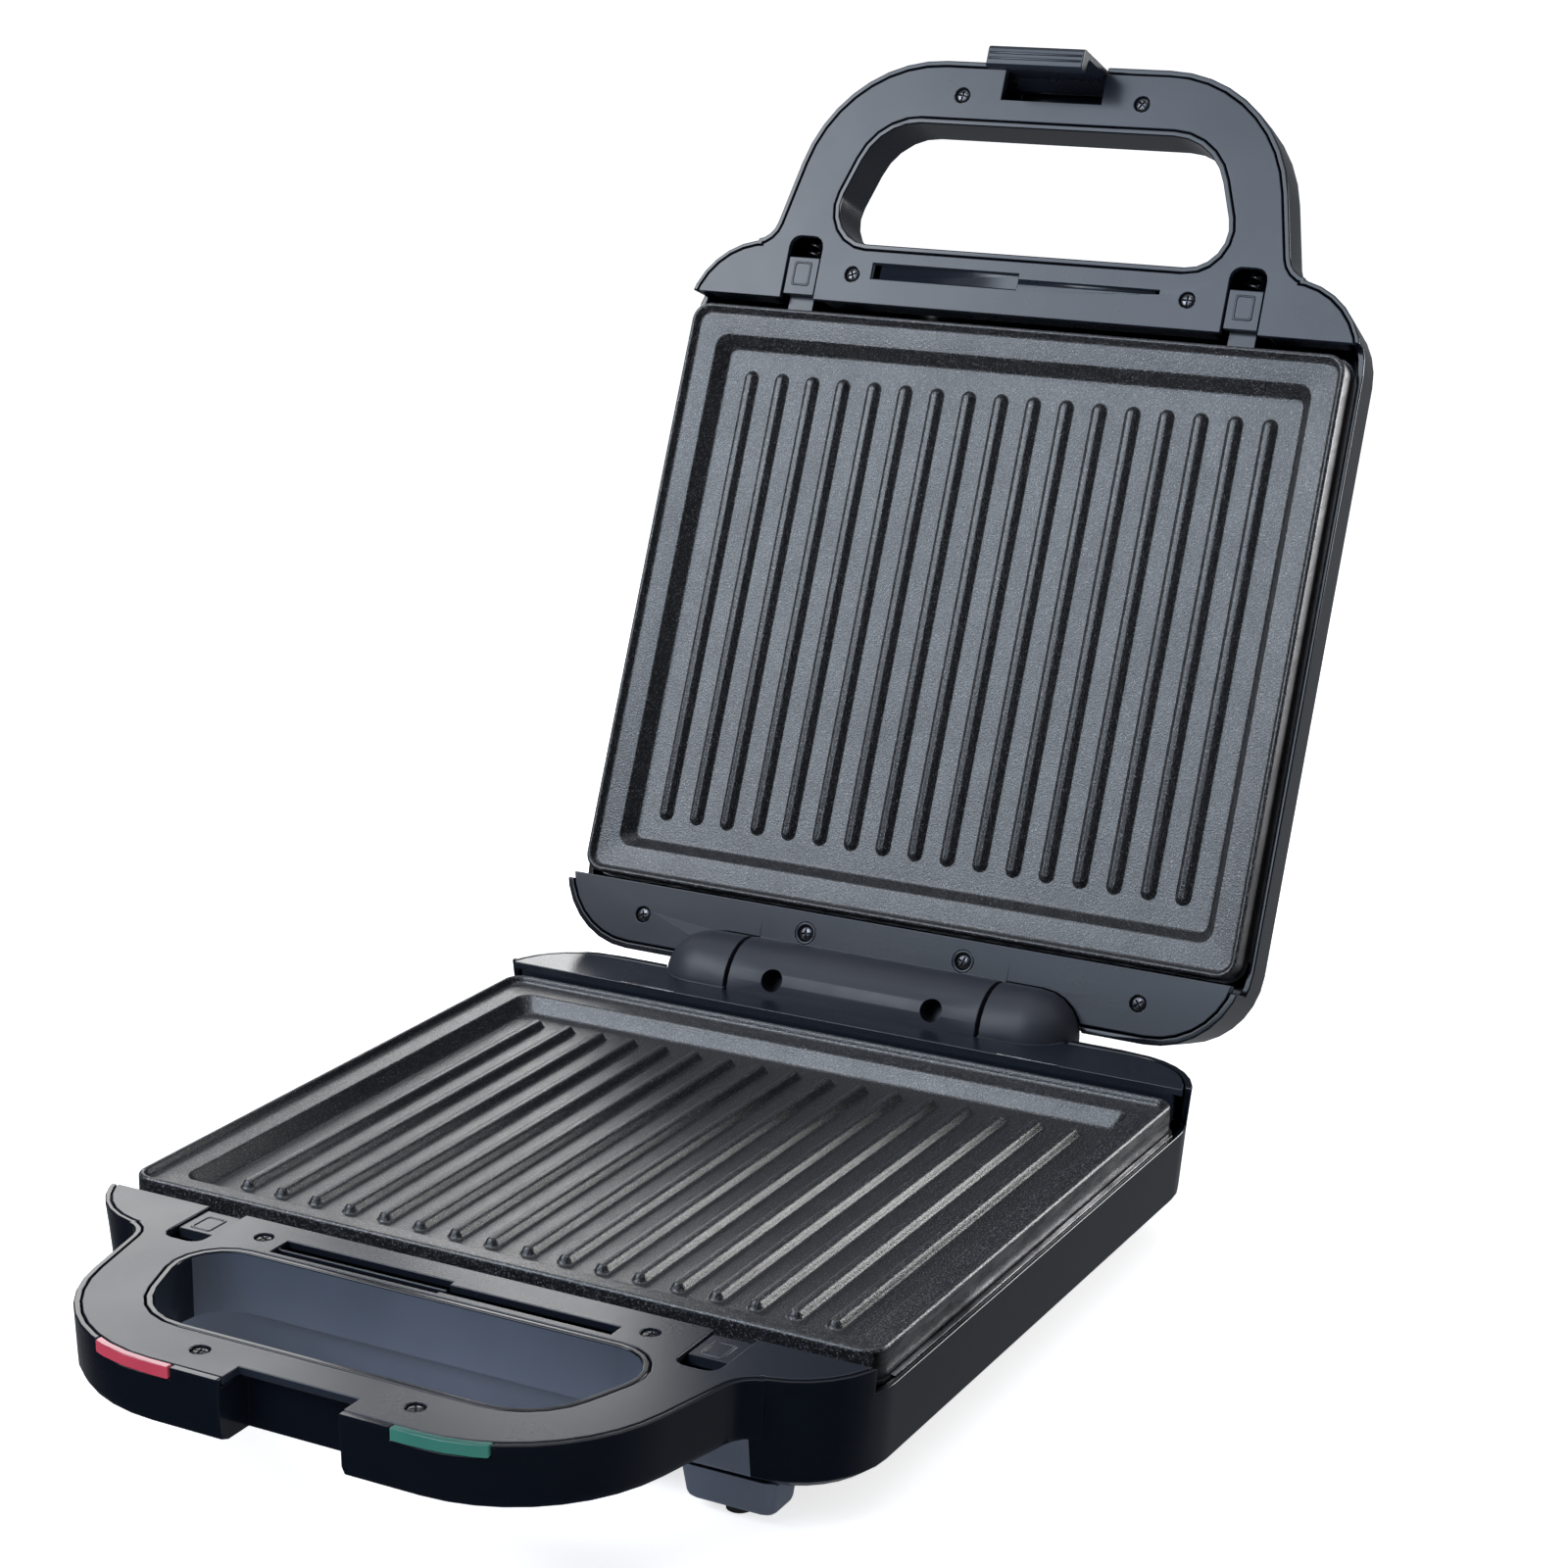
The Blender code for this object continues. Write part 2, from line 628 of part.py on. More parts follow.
def grill_plate():
    """A cast plate: hollow rim with a skirt, ledge, sunk well, ribs and two rear tabs."""
    skirt_bottom = SIDE_WALL_TOP + 0.6
    piece = loft([
        plate_section(LEDGE_WIDTH + 4.4, 4.0, WELL_FLOOR - 2.5),
        plate_section(LEDGE_WIDTH - 0.6, 5.0, LEDGE - 2.8),
        plate_section(2.4, 4.5, LEDGE - 2.8),
        plate_section(2.4, 4.5, skirt_bottom),
        plate_section(0.0, PLATE_CORNER, skirt_bottom),
        plate_section(0.0, PLATE_CORNER, RIM - 0.6),
        plate_section(0.6, PLATE_CORNER - 0.6, RIM),
        plate_section(1.8, 5.0, RIM),
        plate_section(2.3, 4.5, LEDGE),
        plate_section(LEDGE_WIDTH, 8.0, LEDGE),
        plate_section(LEDGE_WIDTH + 2.8, 7.0, WELL_FLOOR + 0.5),
        plate_section(LEDGE_WIDTH + 3.4, 6.6, WELL_FLOOR)])
    first = -(RIB_COUNT - 1) / 2
    ribs = group([rib((first + i) * RIB_PITCH) for i in range(RIB_COUNT)])
    tab = box((TAB_X - 8.0, TAB_X + 8.0), (PLATE_HALF_DEPTH - 1.0, PLATE_HALF_DEPTH + 4.0), (41.0, 43.0))
    window = box((LATCH_X - 5.6, LATCH_X + 5.6), (-110.0, -102.0), (40.3, 42.2))
    join(piece, ribs, on_both_sides(tab))
    return cut(piece, on_both_sides(window))


def reflector_tray():
    """The thin bright pan under a plate; its flange shows beside the plate."""
    piece = loft([
        plate_section(13.0, 6.0, 22.5),
        plate_section(8.0, 7.0, 27.0),
        plate_section(6.0, 8.0, 38.0),
        plate_section(-0.7, 7.0, 38.0),
        plate_section(-0.7, 7.0, 38.9),
        plate_section(6.9, 7.5, 38.9),
        plate_section(8.9, 6.5, 27.4),
        plate_section(13.6, 5.5, 23.4)])
    return cut(piece, on_both_sides(rod((16.0, 90.0, 32.5), (16.0, 112.0, 32.5), 4.2, 12)))


def heating_element():
    """A tubular heater bent into a loop, with both ends through the back of the tray."""
    right_side = (
        [(0.0, -72.0)]
        + arc(76.0, -58.0, 14.0, -90, 0, 4)
        + arc(76.0, 64.0, 14.0, 0, 90, 4)
        + arc(26.0, 88.0, 10.0, 270, 180, 3)
        + [(16.0, 104.0)])
    left_side = [(-x, y) for x, y in reversed(right_side[1:])]
    return tube([(x, y, 32.5) for x, y in left_side + right_side], 3.2)


# --- latches -----------------------------------------------------------------------------
def release_latch():
    """A slide button whose tongue goes through the window in the plate's skirt."""
    flange = box((LATCH_X - 8.8, LATCH_X + 8.8), (LATCH_FRONT + 1.0, -114.0), (41.7, 43.5))
    button = box((LATCH_X - 6.1, LATCH_X + 6.1), (LATCH_FRONT, -111.4), (42.6, 45.6))
    tongue = box((LATCH_X - 5.0, LATCH_X + 5.0), (-118.0, -101.4), (40.6, 41.9))
    lug = box((LATCH_X - 3.4, LATCH_X + 3.4), (LATCH_FRONT + 1.6, LATCH_FRONT + 4.0), (34.6, 42.4))
    return join(flange, button, tongue, lug)


def latch_spring():
    """A compression coil between a latch's lug and the wall in front of it."""
    turns, steps = 6, 6
    rear = LATCH_FRONT + 0.7
    length = 18.4
    count = turns * steps
    turn = 2 * math.pi / steps
    points = [(LATCH_X + 2.3 * math.cos(turn * i), rear - length * i / count, 37.6 + 2.3 * math.sin(turn * i))
              for i in range(count + 1)]
    return tube(points, 0.45, 1)


def lock_latch():
    """The flap at the nose of the lid's handle; its lip hooks under the base's cover."""
    outer = LOCK_PIVOT_Y - 3.3
    outline = (
        arc(LOCK_PIVOT_Y, LOCK_PIVOT_Z, 3.3, 180, 375, 9)
        + [(outer + 2.8, 39.5), (outer + 2.5, 60.6), (outer + 7.6, 62.4)]
        + arc(outer + 6.6, 65.0, 1.0, 0, 90, 3)
        + arc(outer + 1.4, 64.6, 1.4, 90, 180, 3))
    bore = rod((-30, LOCK_PIVOT_Y, LOCK_PIVOT_Z), (30, LOCK_PIVOT_Y, LOCK_PIVOT_Z), LOCK_PIN_RADIUS + PIN_GAP, 12)
    return cut(side_prism(outline, LOCK_HALF), bore)


def lock_pin():
    half = NOTCH_HALF + 1.8
    return rod((-half, LOCK_PIVOT_Y, LOCK_PIVOT_Z), (half, LOCK_PIVOT_Y, LOCK_PIVOT_Z), LOCK_PIN_RADIUS, 12)


# --- screws, lenses and small parts ------------------------------------------------------
def screw(x, y, seat):
    """A pan-head screw with a cross recess, its head resting on the seat."""
    head = loft([
        (circle(x, y, SCREW_HEAD_RADIUS, 12), seat),
        (circle(x, y, SCREW_HEAD_RADIUS, 12), seat + 0.9),
        (circle(x, y, SCREW_HEAD_RADIUS - 0.7, 12), seat + 1.6)])
    shank = rod((x, y, seat - 8.0), (x, y, seat + 0.5), SCREW_SHANK_RADIUS, 6)
    cross = join(box((x - 1.3, x + 1.3), (y - 0.28, y + 0.28), (seat + 0.7, seat + 3.0)),
                 box((x - 0.28, x + 0.28), (y - 1.3, y + 1.3), (seat + 0.7, seat + 3.0)))
    return cut(join(head, shank), cross)


def lens_slots():
    """Where the two indicator lenses sit in the front edge of the base's handle."""
    slot = box((LENS_START - GAP, LENS_END + GAP), (-230.0, -160.0), (LENS_BOTTOM - GAP, 60.0))
    cut(slot, prism(inset(handle_outline(), WALL + GAP), 0.0, 80.0))
    return on_both_sides(slot)


def lens():
    strip = prism(inset(handle_outline(), -0.1), LENS_BOTTOM, FRONT_DECK + 0.1)
    cut(strip, prism(inset(handle_outline(), WALL), 0.0, 80.0))
    return keep(strip, box((LENS_START, LENS_END), (-230.0, -160.0), (0.0, 80.0)))


def indicator_lamp():
    """A small neon lamp behind a lens, lying along the edge of the handle."""
    x, y = (LENS_START + LENS_END) / 2, -189.0
    return rod((x - 7.0, y, 38.0), (x + 7.0, y, 38.0), 2.2, 10)


def rubber_foot(y):
    pad = rod((FOOT_X, y, 0.0), (FOOT_X, y, FOOT_BLOCK_BOTTOM - GAP), FOOT_RADIUS - 0.4, 16, FOOT_RADIUS)
    peg = rod((FOOT_X, y, 1.0), (FOOT_X, y, FOOT_BLOCK_BOTTOM + 1.8), FOOT_RADIUS - 1.0, 16)
    return join(pad, peg)


def cord_grommet():
    """The bush in the rear wall that the supply cord would pass through."""
    face = 130.2
    flange = rod((INLET_X, face, INLET_Z), (INLET_X, face + 2.8, INLET_Z), INLET_RADIUS + 2.5, 20, INLET_RADIUS + 1.5)
    neck = rod((INLET_X, 124.0, INLET_Z), (INLET_X, face + 1.0, INLET_Z), INLET_RADIUS, 20)
    return cut(join(flange, neck), rod((INLET_X, 110.0, INLET_Z), (INLET_X, 140.0, INLET_Z), 3.5, 16))


def hinge_pin():
    return rod((BARREL_HALF - 6.6, HINGE_Y, HINGE_Z), (KNUCKLE_START + 8.6, HINGE_Y, HINGE_Z), PIN_RADIUS, 12)


def thermostat():
    return rod((0.0, 99.0, 30.0), (0.0, 105.6, 30.0), 6.5, 20)


def terminal_block():
    block = box((-72.0, -40.0), (109.6, 118.0), (16.6, 27.0))
    return cut(block, *[rod((x, 113.8, 22.0), (x, 113.8, 30.0), 2.0, 10) for x in (-66.0, -56.0, -46.0)])


# --- from a drawn lower half to the finished assembly ------------------------------------
def finish(piece, name, material, smooth_angle=32.0):
    piece.name = name
    piece.data.name = name
    piece.data.materials.clear()
    piece.data.materials.append(MATERIALS[material])
    piece.data.shade_smooth()
    piece.data.set_sharp_from_angle(angle=math.radians(smooth_angle))
    WORKSHOP.objects.unlink(piece)
    PARTS.objects.link(piece)
    return piece


def place(piece, parent, origin):
    """Give the object its origin at a point of its parent's space, the shape staying put."""
    piece.data.transform(Matrix.Translation(-origin * MM))
    piece.location = origin * MM
    piece.parent = parent


def on_base(piece, name, material, origin=(0.0, 0.0, 0.0)):
    place(finish(piece, name, material), BASE, Vector(origin))


def on_lid(piece, name, material, origin=None):
    """Turn a piece over about the mating plane and hang it on the lid's hinge."""
    shut = Matrix.Translation((0, 0, 2 * MATING_PLANE * MM)) @ Matrix.Diagonal((1, 1, -1, 1))
    piece.data.transform(Matrix.Translation(-HINGE * MM) @ shut)
    piece.data.flip_normals()
    finish(piece, name, material)
    if origin is None:
        local = Vector((0.0, 0.0, 0.0))
    else:
        local = Vector((origin[0], origin[1], 2 * MATING_PLANE - origin[2])) - HINGE
    place(piece, LID, local)


HINGE = Vector((0.0, HINGE_Y, HINGE_Z))
LID_HINGE_Z = 2 * MATING_PLANE - HINGE_Z
BASE = make_empty("base_frame", (0.0, PLATE_CENTRE_Y, 0.0))
LID = make_empty("lid_hinge_axis", HINGE, BASE)
LID.rotation_euler = (-OPEN_ANGLE, 0.0, 0.0)


def add_half(add, prefix):
    """The pieces that the two halves share."""
    add(grill_plate(), prefix + "_grill_plate", "coating")
    add(reflector_tray(), prefix + "_reflector_tray", "aluminium")
    add(heating_element(), prefix + "_heating_element", "element")
    for side, turn in (("right", lambda piece: piece), ("left", mirrored_only)):
        sign = 1 if side == "right" else -1
        add(turn(release_latch()), f"{prefix}_release_latch_{side}", "cover", (sign * LATCH_X, LATCH_FRONT, 43.0))
        add(turn(latch_spring()), f"{prefix}_latch_spring_{side}", "steel")
        for number, (x, y) in enumerate(FRONT_SCREWS, 1):
            seat = FRONT_DECK - COVER_THICKNESS - 0.55
            add(screw(sign * x, y, seat), f"{prefix}_cover_screw_{side}_{number}", "black_steel")


def mirrored_only(piece):
    other = mirrored(piece)
    bpy.data.objects.remove(piece)
    return other


def build_base():
    on_base(base_shell(), "base_shell", "shell")
    on_base(base_handle_cover(), "base_handle_cover", "cover")
    on_base(base_rear_cover(), "base_rear_cover", "cover")
    add_half(on_base, "lower")
    for side, turn in (("right", lambda piece: piece), ("left", mirrored_only)):
        on_base(turn(lens()), "green_ready_lens" if side == "right" else "red_power_lens",
                "green" if side == "right" else "red")
        on_base(turn(indicator_lamp()), f"indicator_lamp_{side}", "glass")
        on_base(turn(hinge_pin()), f"hinge_pin_{side}", "steel")
        on_base(turn(rubber_foot(FOOT_FRONT_Y)), f"rubber_foot_front_{side}", "rubber")
        on_base(turn(rubber_foot(FOOT_REAR_Y)), f"rubber_foot_rear_{side}", "rubber")
    on_base(cord_grommet(), "cord_grommet", "rubber")
    on_base(thermostat(), "thermostat", "phenolic")
    on_base(terminal_block(), "terminal_block", "phenolic")


def build_lid():
    on_lid(lid_shell(), "lid_shell", "shell")
    on_lid(lid_handle_cover(), "lid_handle_cover", "cover")
    on_lid(lid_rear_cover(), "lid_rear_cover", "cover")
    add_half(on_lid, "upper")
    on_lid(lock_latch(), "lock_latch", "cover", (0.0, LOCK_PIVOT_Y, LOCK_PIVOT_Z))
    on_lid(lock_pin(), "lock_pin", "steel")
    for side, sign in (("right", 1), ("left", -1)):
        (rear_x, rear_y), (barrel_x, barrel_y) = REAR_SCREW, BARREL_SCREW
        bottom = REAR_DECK - COVER_THICKNESS
        on_lid(screw(sign * rear_x, rear_y, bottom - 0.55), f"upper_rear_screw_{side}", "black_steel")
        on_lid(screw(sign * barrel_x, barrel_y, bottom - 3.95), f"upper_barrel_screw_{side}", "black_steel")


build_base()
build_lid()
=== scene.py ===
"""Looks of the panini press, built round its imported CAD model."""
import json
import math

import bmesh
import bpy
from mathutils import Matrix, Vector


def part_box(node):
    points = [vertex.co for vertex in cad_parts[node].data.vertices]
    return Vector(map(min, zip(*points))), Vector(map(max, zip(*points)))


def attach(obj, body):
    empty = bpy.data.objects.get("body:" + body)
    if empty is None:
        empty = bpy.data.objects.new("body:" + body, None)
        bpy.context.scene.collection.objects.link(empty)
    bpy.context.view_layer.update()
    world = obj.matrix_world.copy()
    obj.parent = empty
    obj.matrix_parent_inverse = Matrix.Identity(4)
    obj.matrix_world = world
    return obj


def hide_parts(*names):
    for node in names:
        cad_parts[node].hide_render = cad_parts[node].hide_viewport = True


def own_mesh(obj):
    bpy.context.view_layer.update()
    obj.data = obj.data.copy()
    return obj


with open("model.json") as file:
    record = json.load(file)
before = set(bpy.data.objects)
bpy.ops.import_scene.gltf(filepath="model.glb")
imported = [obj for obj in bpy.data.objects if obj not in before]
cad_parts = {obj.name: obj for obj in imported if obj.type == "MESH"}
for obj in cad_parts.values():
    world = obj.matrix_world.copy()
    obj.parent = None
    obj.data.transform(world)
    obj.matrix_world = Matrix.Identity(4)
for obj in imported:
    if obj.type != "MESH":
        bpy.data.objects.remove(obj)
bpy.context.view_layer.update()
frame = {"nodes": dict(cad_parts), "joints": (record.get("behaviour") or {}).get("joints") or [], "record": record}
NODES = frame["nodes"]
BODY_OF = {node: body for body, nodes in frame["record"]["behaviour"]["bodies"].items() for node in nodes}
SLOT_OF = {entry["node"]: entry["material_slot"] for entry in frame["record"]["subparts"]}
HINGE = next(joint for joint in frame["joints"] if joint["name"] == "lid_hinge")

# Lengths are millimetres in the drawing of a lower half: X to the press's right, Y from the
# plate's centre to the hinge, Z up from the table. The camera, lights and floor are in metres.
MM = 0.001
SIDES = (("left", -1), ("right", 1))
HALVES = (("lower", "base"), ("upper", "lid"))
FRONT_DECK = 46.3
REAR_DECK = 51.4
MATING_PLANE = 51.9

# Rounding of the CAD solids' edges.
WELD = 0.002
SHORTEST_EDGE = 0.4
FACET_ANGLE = math.radians(0.6)
CORNER_ANGLE = math.radians(30.0)
ROUNDING_SEGMENTS = 2
FLAT_COSINE = math.cos(math.radians(0.7))
SMOOTH_COSINE = math.cos(math.radians(50.0))
ROUNDING = {
    "base_shell": 0.5, "lid_shell": 0.5, "base_handle_cover": 0.35, "lid_handle_cover": 0.35,
    "base_rear_cover": 0.35, "lid_rear_cover": 0.35, "lock_latch": 0.4, "red_power_lens": 0.35,
    "green_ready_lens": 0.35}
LATCH_ROUNDING = 0.3

# Where the shell and covers have another finish, in millimetres of the world.
OPENING_HALF_WIDTH = 80.0
OPENING_FRONT = -200.0
OPENING_REAR = -150.0
OPENING_TOP = 45.0
FOOT_BLOCK_TOP = 12.0
DOME_END = 79.0
BARREL_REACH = 16.4

# Grill plates.
PLATE_HALF_WIDTH = 124.2
PLATE_HALF_DEPTH = 105.3
PLATE_CORNER_STEPS = 8
TAB_REACH = 4.0
RIM_BAND = 1.5
RIM_BOTTOM = 39.3
RIM_TOP = 47.0
RIB_PITCH = 12.4
RIB_COUNT = 17
RIB_HALF_WIDTH = 2.4
RIB_HALF_LENGTH = 82.7
RIB_ROUNDNESS = 0.999
RIB_CORNER_STEPS = 6

# Screws: their places on a deck's right side, and profiles of radius or arm length and height.
FRONT_SCREWS = ((63.9, -120.0), (34.2, -187.5))
REAR_SCREW = (94.5, 118.0)
BARREL_SCREW = (30.1, 114.5)
HEAD_SINK = 0.25
HEAD_PROFILE = ((2.5, -1.5), (2.55, -0.75), (2.45, -0.5), (2.15, -0.28), (1.6, -0.12), (0.9, -0.06))
CROSS_PROFILE = ((0.9, -1.35), (1.65, -0.3), (1.75, 0.2))
CROSS_WIDTH = 0.45
COLLAR_PROFILE = ((3.95, -3.0), (3.95, -0.25), (3.75, -0.05), (3.1, -0.05), (2.9, -0.25), (2.9, -3.0))
COLLAR_STEPS = 32

# Plate-release latches, with the pad's half-width and height, and their springs.
LATCH_X = 84.3
LATCH_PAD_Y = -119.0
LATCH_TOP = 45.6
PAD_PROFILE = ((3.6, -0.1), (3.5, 0.14), (3.3, 0.22), (3.0, 0.22), (2.8, 0.14), (2.7, -0.1))
PAD_EXTRA_LENGTH = 0.9
PAD_CORNER = 0.9
SPRING_RADIUS = 2.3
SPRING_WIRE = 0.9
SPRING_HEIGHT = 37.6
SPRING_REAR = -124.3
SPRING_FRONT = -142.7
SPRING_TURNS = 6
SPRING_STEPS = 16
SPRING_WELD = 0.001

# Thin bars: reflector tray lips, plate tabs and the grips on the lock flap.
STRIP_CORNER = 0.15
STRIP_EASE = 0.1
TRAY_LIP_X = (124.5, 126.2)
TRAY_LIP_Y = (-98.0, 98.0)
TRAY_LIP_Z = (38.9, 39.3)
PLATE_TAB_X = (60.5, 82.0)
PLATE_TAB_Y = (106.8, 107.9)
PLATE_TAB_Z = (50.9, 51.55)
LOCK_EDGE = -199.9
LOCK_TOP = 66.0
GRIP_COUNT = 2
GRIP_PITCH = 1.9
GRIP_START = 2.4
GRIP_WIDTH = 0.8
GRIP_X = (-17.4, 17.4)
GRIP_Z = (LOCK_TOP - 0.2, LOCK_TOP + 0.3)

# The lid's stepped slot: the name, X and Y ranges and depth of each cut.
LID_SLOT_CUTS = (
    ("wide", (-56.0, 0.2), (-124.3, -119.3), 1.6),
    ("left_pit", (-56.0, -53.6), (-124.3, -119.3), 3.4),
    ("right_pit", (51.6, 53.2), (-122.5, -121.3), 3.4),
)
SLOT_CORNER = 0.35

# Screw-access holes in the hinge barrel.
BARREL_HOLE_TILT = math.radians(28.0)
BARREL_HOLE_RADIUS = 4.0
BARREL_HOLE_LENGTH = 14.0
BARREL_HOLE_OFFSET = 14.0

CAMERA_PLACE = (0.4805, -0.8691, 0.4321)
CAMERA_TARGET = (-0.0154, 0.0583, 0.1333)
CAMERA_ROLL = math.radians(0.59)
CAMERA_LENS = 76.7

CEILING = 0.9
ROOM_FRONT = 0.012
ROOM_BACK = 0.18
FLOOR_HALF_SIZE = 80.0
FLOOR_DROP = 0.0002
LID_CENTRE = (0.0, 0.14, 0.17)
PLATE_CENTRE = (0.0, -0.04, 0.04)
# Each softbox's name, place, target, width, height, radiance and colour.
SOFTBOXES = (
    ("front_fill", (-0.56, -0.88, 0.95), LID_CENTRE, 1.1, 0.70, 4.8, (0.74, 0.85, 1.0)),
    ("front_left_key", (-0.86, -0.72, 0.86), LID_CENTRE, 0.45, 0.6, 3.4, (1.0, 0.98, 0.96)),
    ("back_left_strip", (-0.80, 0.60, 0.47), PLATE_CENTRE, 0.30, 0.45, 3.0, (1.0, 1.0, 1.0)),
    ("plate_glow", (-0.42, 0.60, 0.34), PLATE_CENTRE, 0.18, 0.22, 5.5, (1.0, 1.0, 1.0)),
    ("back_right_strip", (0.68, 0.88, 0.26), PLATE_CENTRE, 0.50, 0.45, 10.0, (1.0, 1.0, 1.0)),
)


# --- materials ---------------------------------------------------------------------------
class Shader:
    """A Principled material with short helpers for its procedural nodes."""

    def __init__(self, name, colour, roughness, metallic=0.0, **sockets):
        self.material = bpy.data.materials.new(name)
        self.material.use_nodes = True
        self.nodes = self.material.node_tree.nodes
        self.links = self.material.node_tree.links
        self.shader = self.nodes["Principled BSDF"]
        self.shader.inputs["Base Color"].default_value = (*colour, 1.0)
        self.shader.inputs["Roughness"].default_value = roughness
        self.shader.inputs["Metallic"].default_value = metallic
        for socket, value in sockets.items():
            self.shader.inputs[socket.replace("_", " ")].default_value = value
        self.place = self.nodes.new("ShaderNodeTexCoord").outputs["Object"]
        self.normal = None

    def stretched(self, scale):
        """Object coordinates scaled along each axis."""
        mapping = self.nodes.new("ShaderNodeMapping")
        mapping.inputs["Scale"].default_value = scale
        self.links.new(self.place, mapping.inputs["Vector"])
        return mapping.outputs["Vector"]

    def noise(self, scale, detail=2.0, roughness=0.5, vector=None):
        noise = self.nodes.new("ShaderNodeTexNoise")
        noise.inputs["Scale"].default_value = scale
        noise.inputs["Detail"].default_value = detail
        noise.inputs["Roughness"].default_value = roughness
        self.links.new(vector or self.place, noise.inputs["Vector"])
        return noise.outputs["Fac"]

    def ramp(self, value, low, high, start, end):
        """Map a value between low and high onto a range from start to end, clamped."""
        node = self.nodes.new("ShaderNodeMapRange")
        for name, number in (("From Min", low), ("From Max", high), ("To Min", start), ("To Max", end)):
            node.inputs[name].default_value = number
        self.links.new(value, node.inputs["Value"])
        return node.outputs["Result"]

    def mix(self, factor, first, second):
        """Blend two colours, each a tuple or another node's output."""
        node = self.nodes.new("ShaderNodeMix")
        node.data_type = "RGBA"
        for socket, value in ((node.inputs[6], first), (node.inputs[7], second)):
            if isinstance(value, tuple):
                socket.default_value = (*value, 1.0)
            else:
                self.links.new(value, socket)
        self.links.new(factor, node.inputs[0])
        return node.outputs[2]

    def colour(self, output):
        self.links.new(output, self.shader.inputs["Base Color"])

    def rough(self, output):
        self.links.new(output, self.shader.inputs["Roughness"])

    def bump(self, height, distance, strength):
        """Add a layer of relief over those already there."""
        node = self.nodes.new("ShaderNodeBump")
        node.inputs["Strength"].default_value = strength
        node.inputs["Distance"].default_value = distance
        self.links.new(height, node.inputs["Height"])
        if self.normal:
            self.links.new(self.normal, node.inputs["Normal"])
        self.normal = node.outputs["Normal"]
        self.links.new(self.normal, self.shader.inputs["Normal"])

    def edges(self, low, high):
        """One on sharp outer edges, nought elsewhere."""
        point = self.nodes.new("ShaderNodeNewGeometry").outputs["Pointiness"]
        return self.ramp(point, low, high, 0.0, 1.0)


def gloss_shell():
    """Polished blue-black plastic with faint flow marks and dust; its sharp edges are lightened as a painted
    highlight.
    """
    s = Shader("gloss_shell", (0.003, 0.0045, 0.008), 0.12)
    s.rough(s.ramp(s.noise(38.0, 5.0, 0.65), 0.35, 0.75, 0.11, 0.17))
    # Painted highlight: sharp edges get a lighter colour.
    s.colour(s.mix(s.edges(0.54, 0.62), (0.003, 0.0045, 0.008), (0.012, 0.016, 0.026)))
    s.bump(s.noise(170.0, 2.0), 0.00003, 0.2)
    s.bump(s.noise(3200.0, 1.0), 0.00001, 0.25)
    return s.material


def satin_cover():
    """Moulded blue-grey plastic with a very fine grain; its sharp edges are lightened as a painted highlight."""
    s = Shader("satin_cover", (0.012, 0.015, 0.022), 0.26)
    s.rough(s.ramp(s.noise(24.0, 5.0, 0.6), 0.3, 0.75, 0.22, 0.30))
    tone = s.mix(s.ramp(s.noise(14.0, 3.0), 0.3, 0.7, 0.0, 1.0), (0.011, 0.014, 0.022), (0.014, 0.018, 0.028))
    # Painted highlight: sharp edges get a lighter colour.
    s.colour(s.mix(s.edges(0.54, 0.62), tone, (0.024, 0.029, 0.040)))
    s.bump(s.noise(2600.0, 2.0), 0.00002, 0.35)
    return s.material


def matte_wall_painted_light():
    """The duller moulding inside the handle opening and round the foot blocks; its light blue-grey colour is
    painted light on the shell's dark plastic.
    """
    s = Shader("matte_wall_painted_light", (0.05, 0.06, 0.085), 0.42)
    tone = s.ramp(s.noise(18.0, 3.0), 0.3, 0.7, 0.0, 1.0)
    # Painted light: a blue-grey far lighter than the shell's own colour.
    s.colour(s.mix(tone, (0.060, 0.075, 0.105), (0.085, 0.102, 0.145)))
    s.rough(s.ramp(s.noise(40.0, 4.0), 0.3, 0.7, 0.36, 0.48))
    s.bump(s.noise(2200.0, 2.0), 0.00002, 0.4)
    return s.material


def coating():
    """Non-stick coating: a grainy dark film with fine light specks, which are painted glints off its grain."""
    s = Shader("non_stick_coating", (0.012, 0.012, 0.013), 0.3, Specular_IOR_Level=0.8)
    grain = s.noise(1700.0, 2.0, 0.6)
    # Painted highlight: bright specks of colour stand in for glints off the grain.
    painted_glints = s.ramp(s.noise(2300.0, 1.0), 0.58, 0.72, 0.0, 1.0)
    tone = s.mix(s.ramp(grain, 0.35, 0.7, 0.0, 1.0), (0.004, 0.004, 0.005), (0.020, 0.021, 0.023))
    s.colour(s.mix(painted_glints, tone, (0.22, 0.22, 0.24)))
    s.rough(s.ramp(s.noise(55.0, 4.0, 0.6), 0.3, 0.75, 0.28, 0.36))
    s.bump(grain, 0.0002, 0.7)
    return s.material


def bare_aluminium(name, light_smear, gloss, relief):
    """Machined rim of a plate: bare metal with lengthwise tool marks and smears."""
    s = Shader(name, (0.62, 0.62, 0.63), 0.28, 1.0)
    marks = s.noise(700.0, 3.0, 0.6, s.stretched((0.3, 0.08, 1.0)))
    smears = s.noise(90.0, 5.0, 0.75, s.stretched((1.0, 0.4, 1.0)))
    s.colour(s.mix(s.ramp(smears, 0.35, 0.7, 0.0, 1.0), (0.10, 0.10, 0.105), light_smear))
    s.rough(s.ramp(marks, 0.3, 0.7, *gloss))
    s.bump(marks, relief, 0.6)
    return s.material


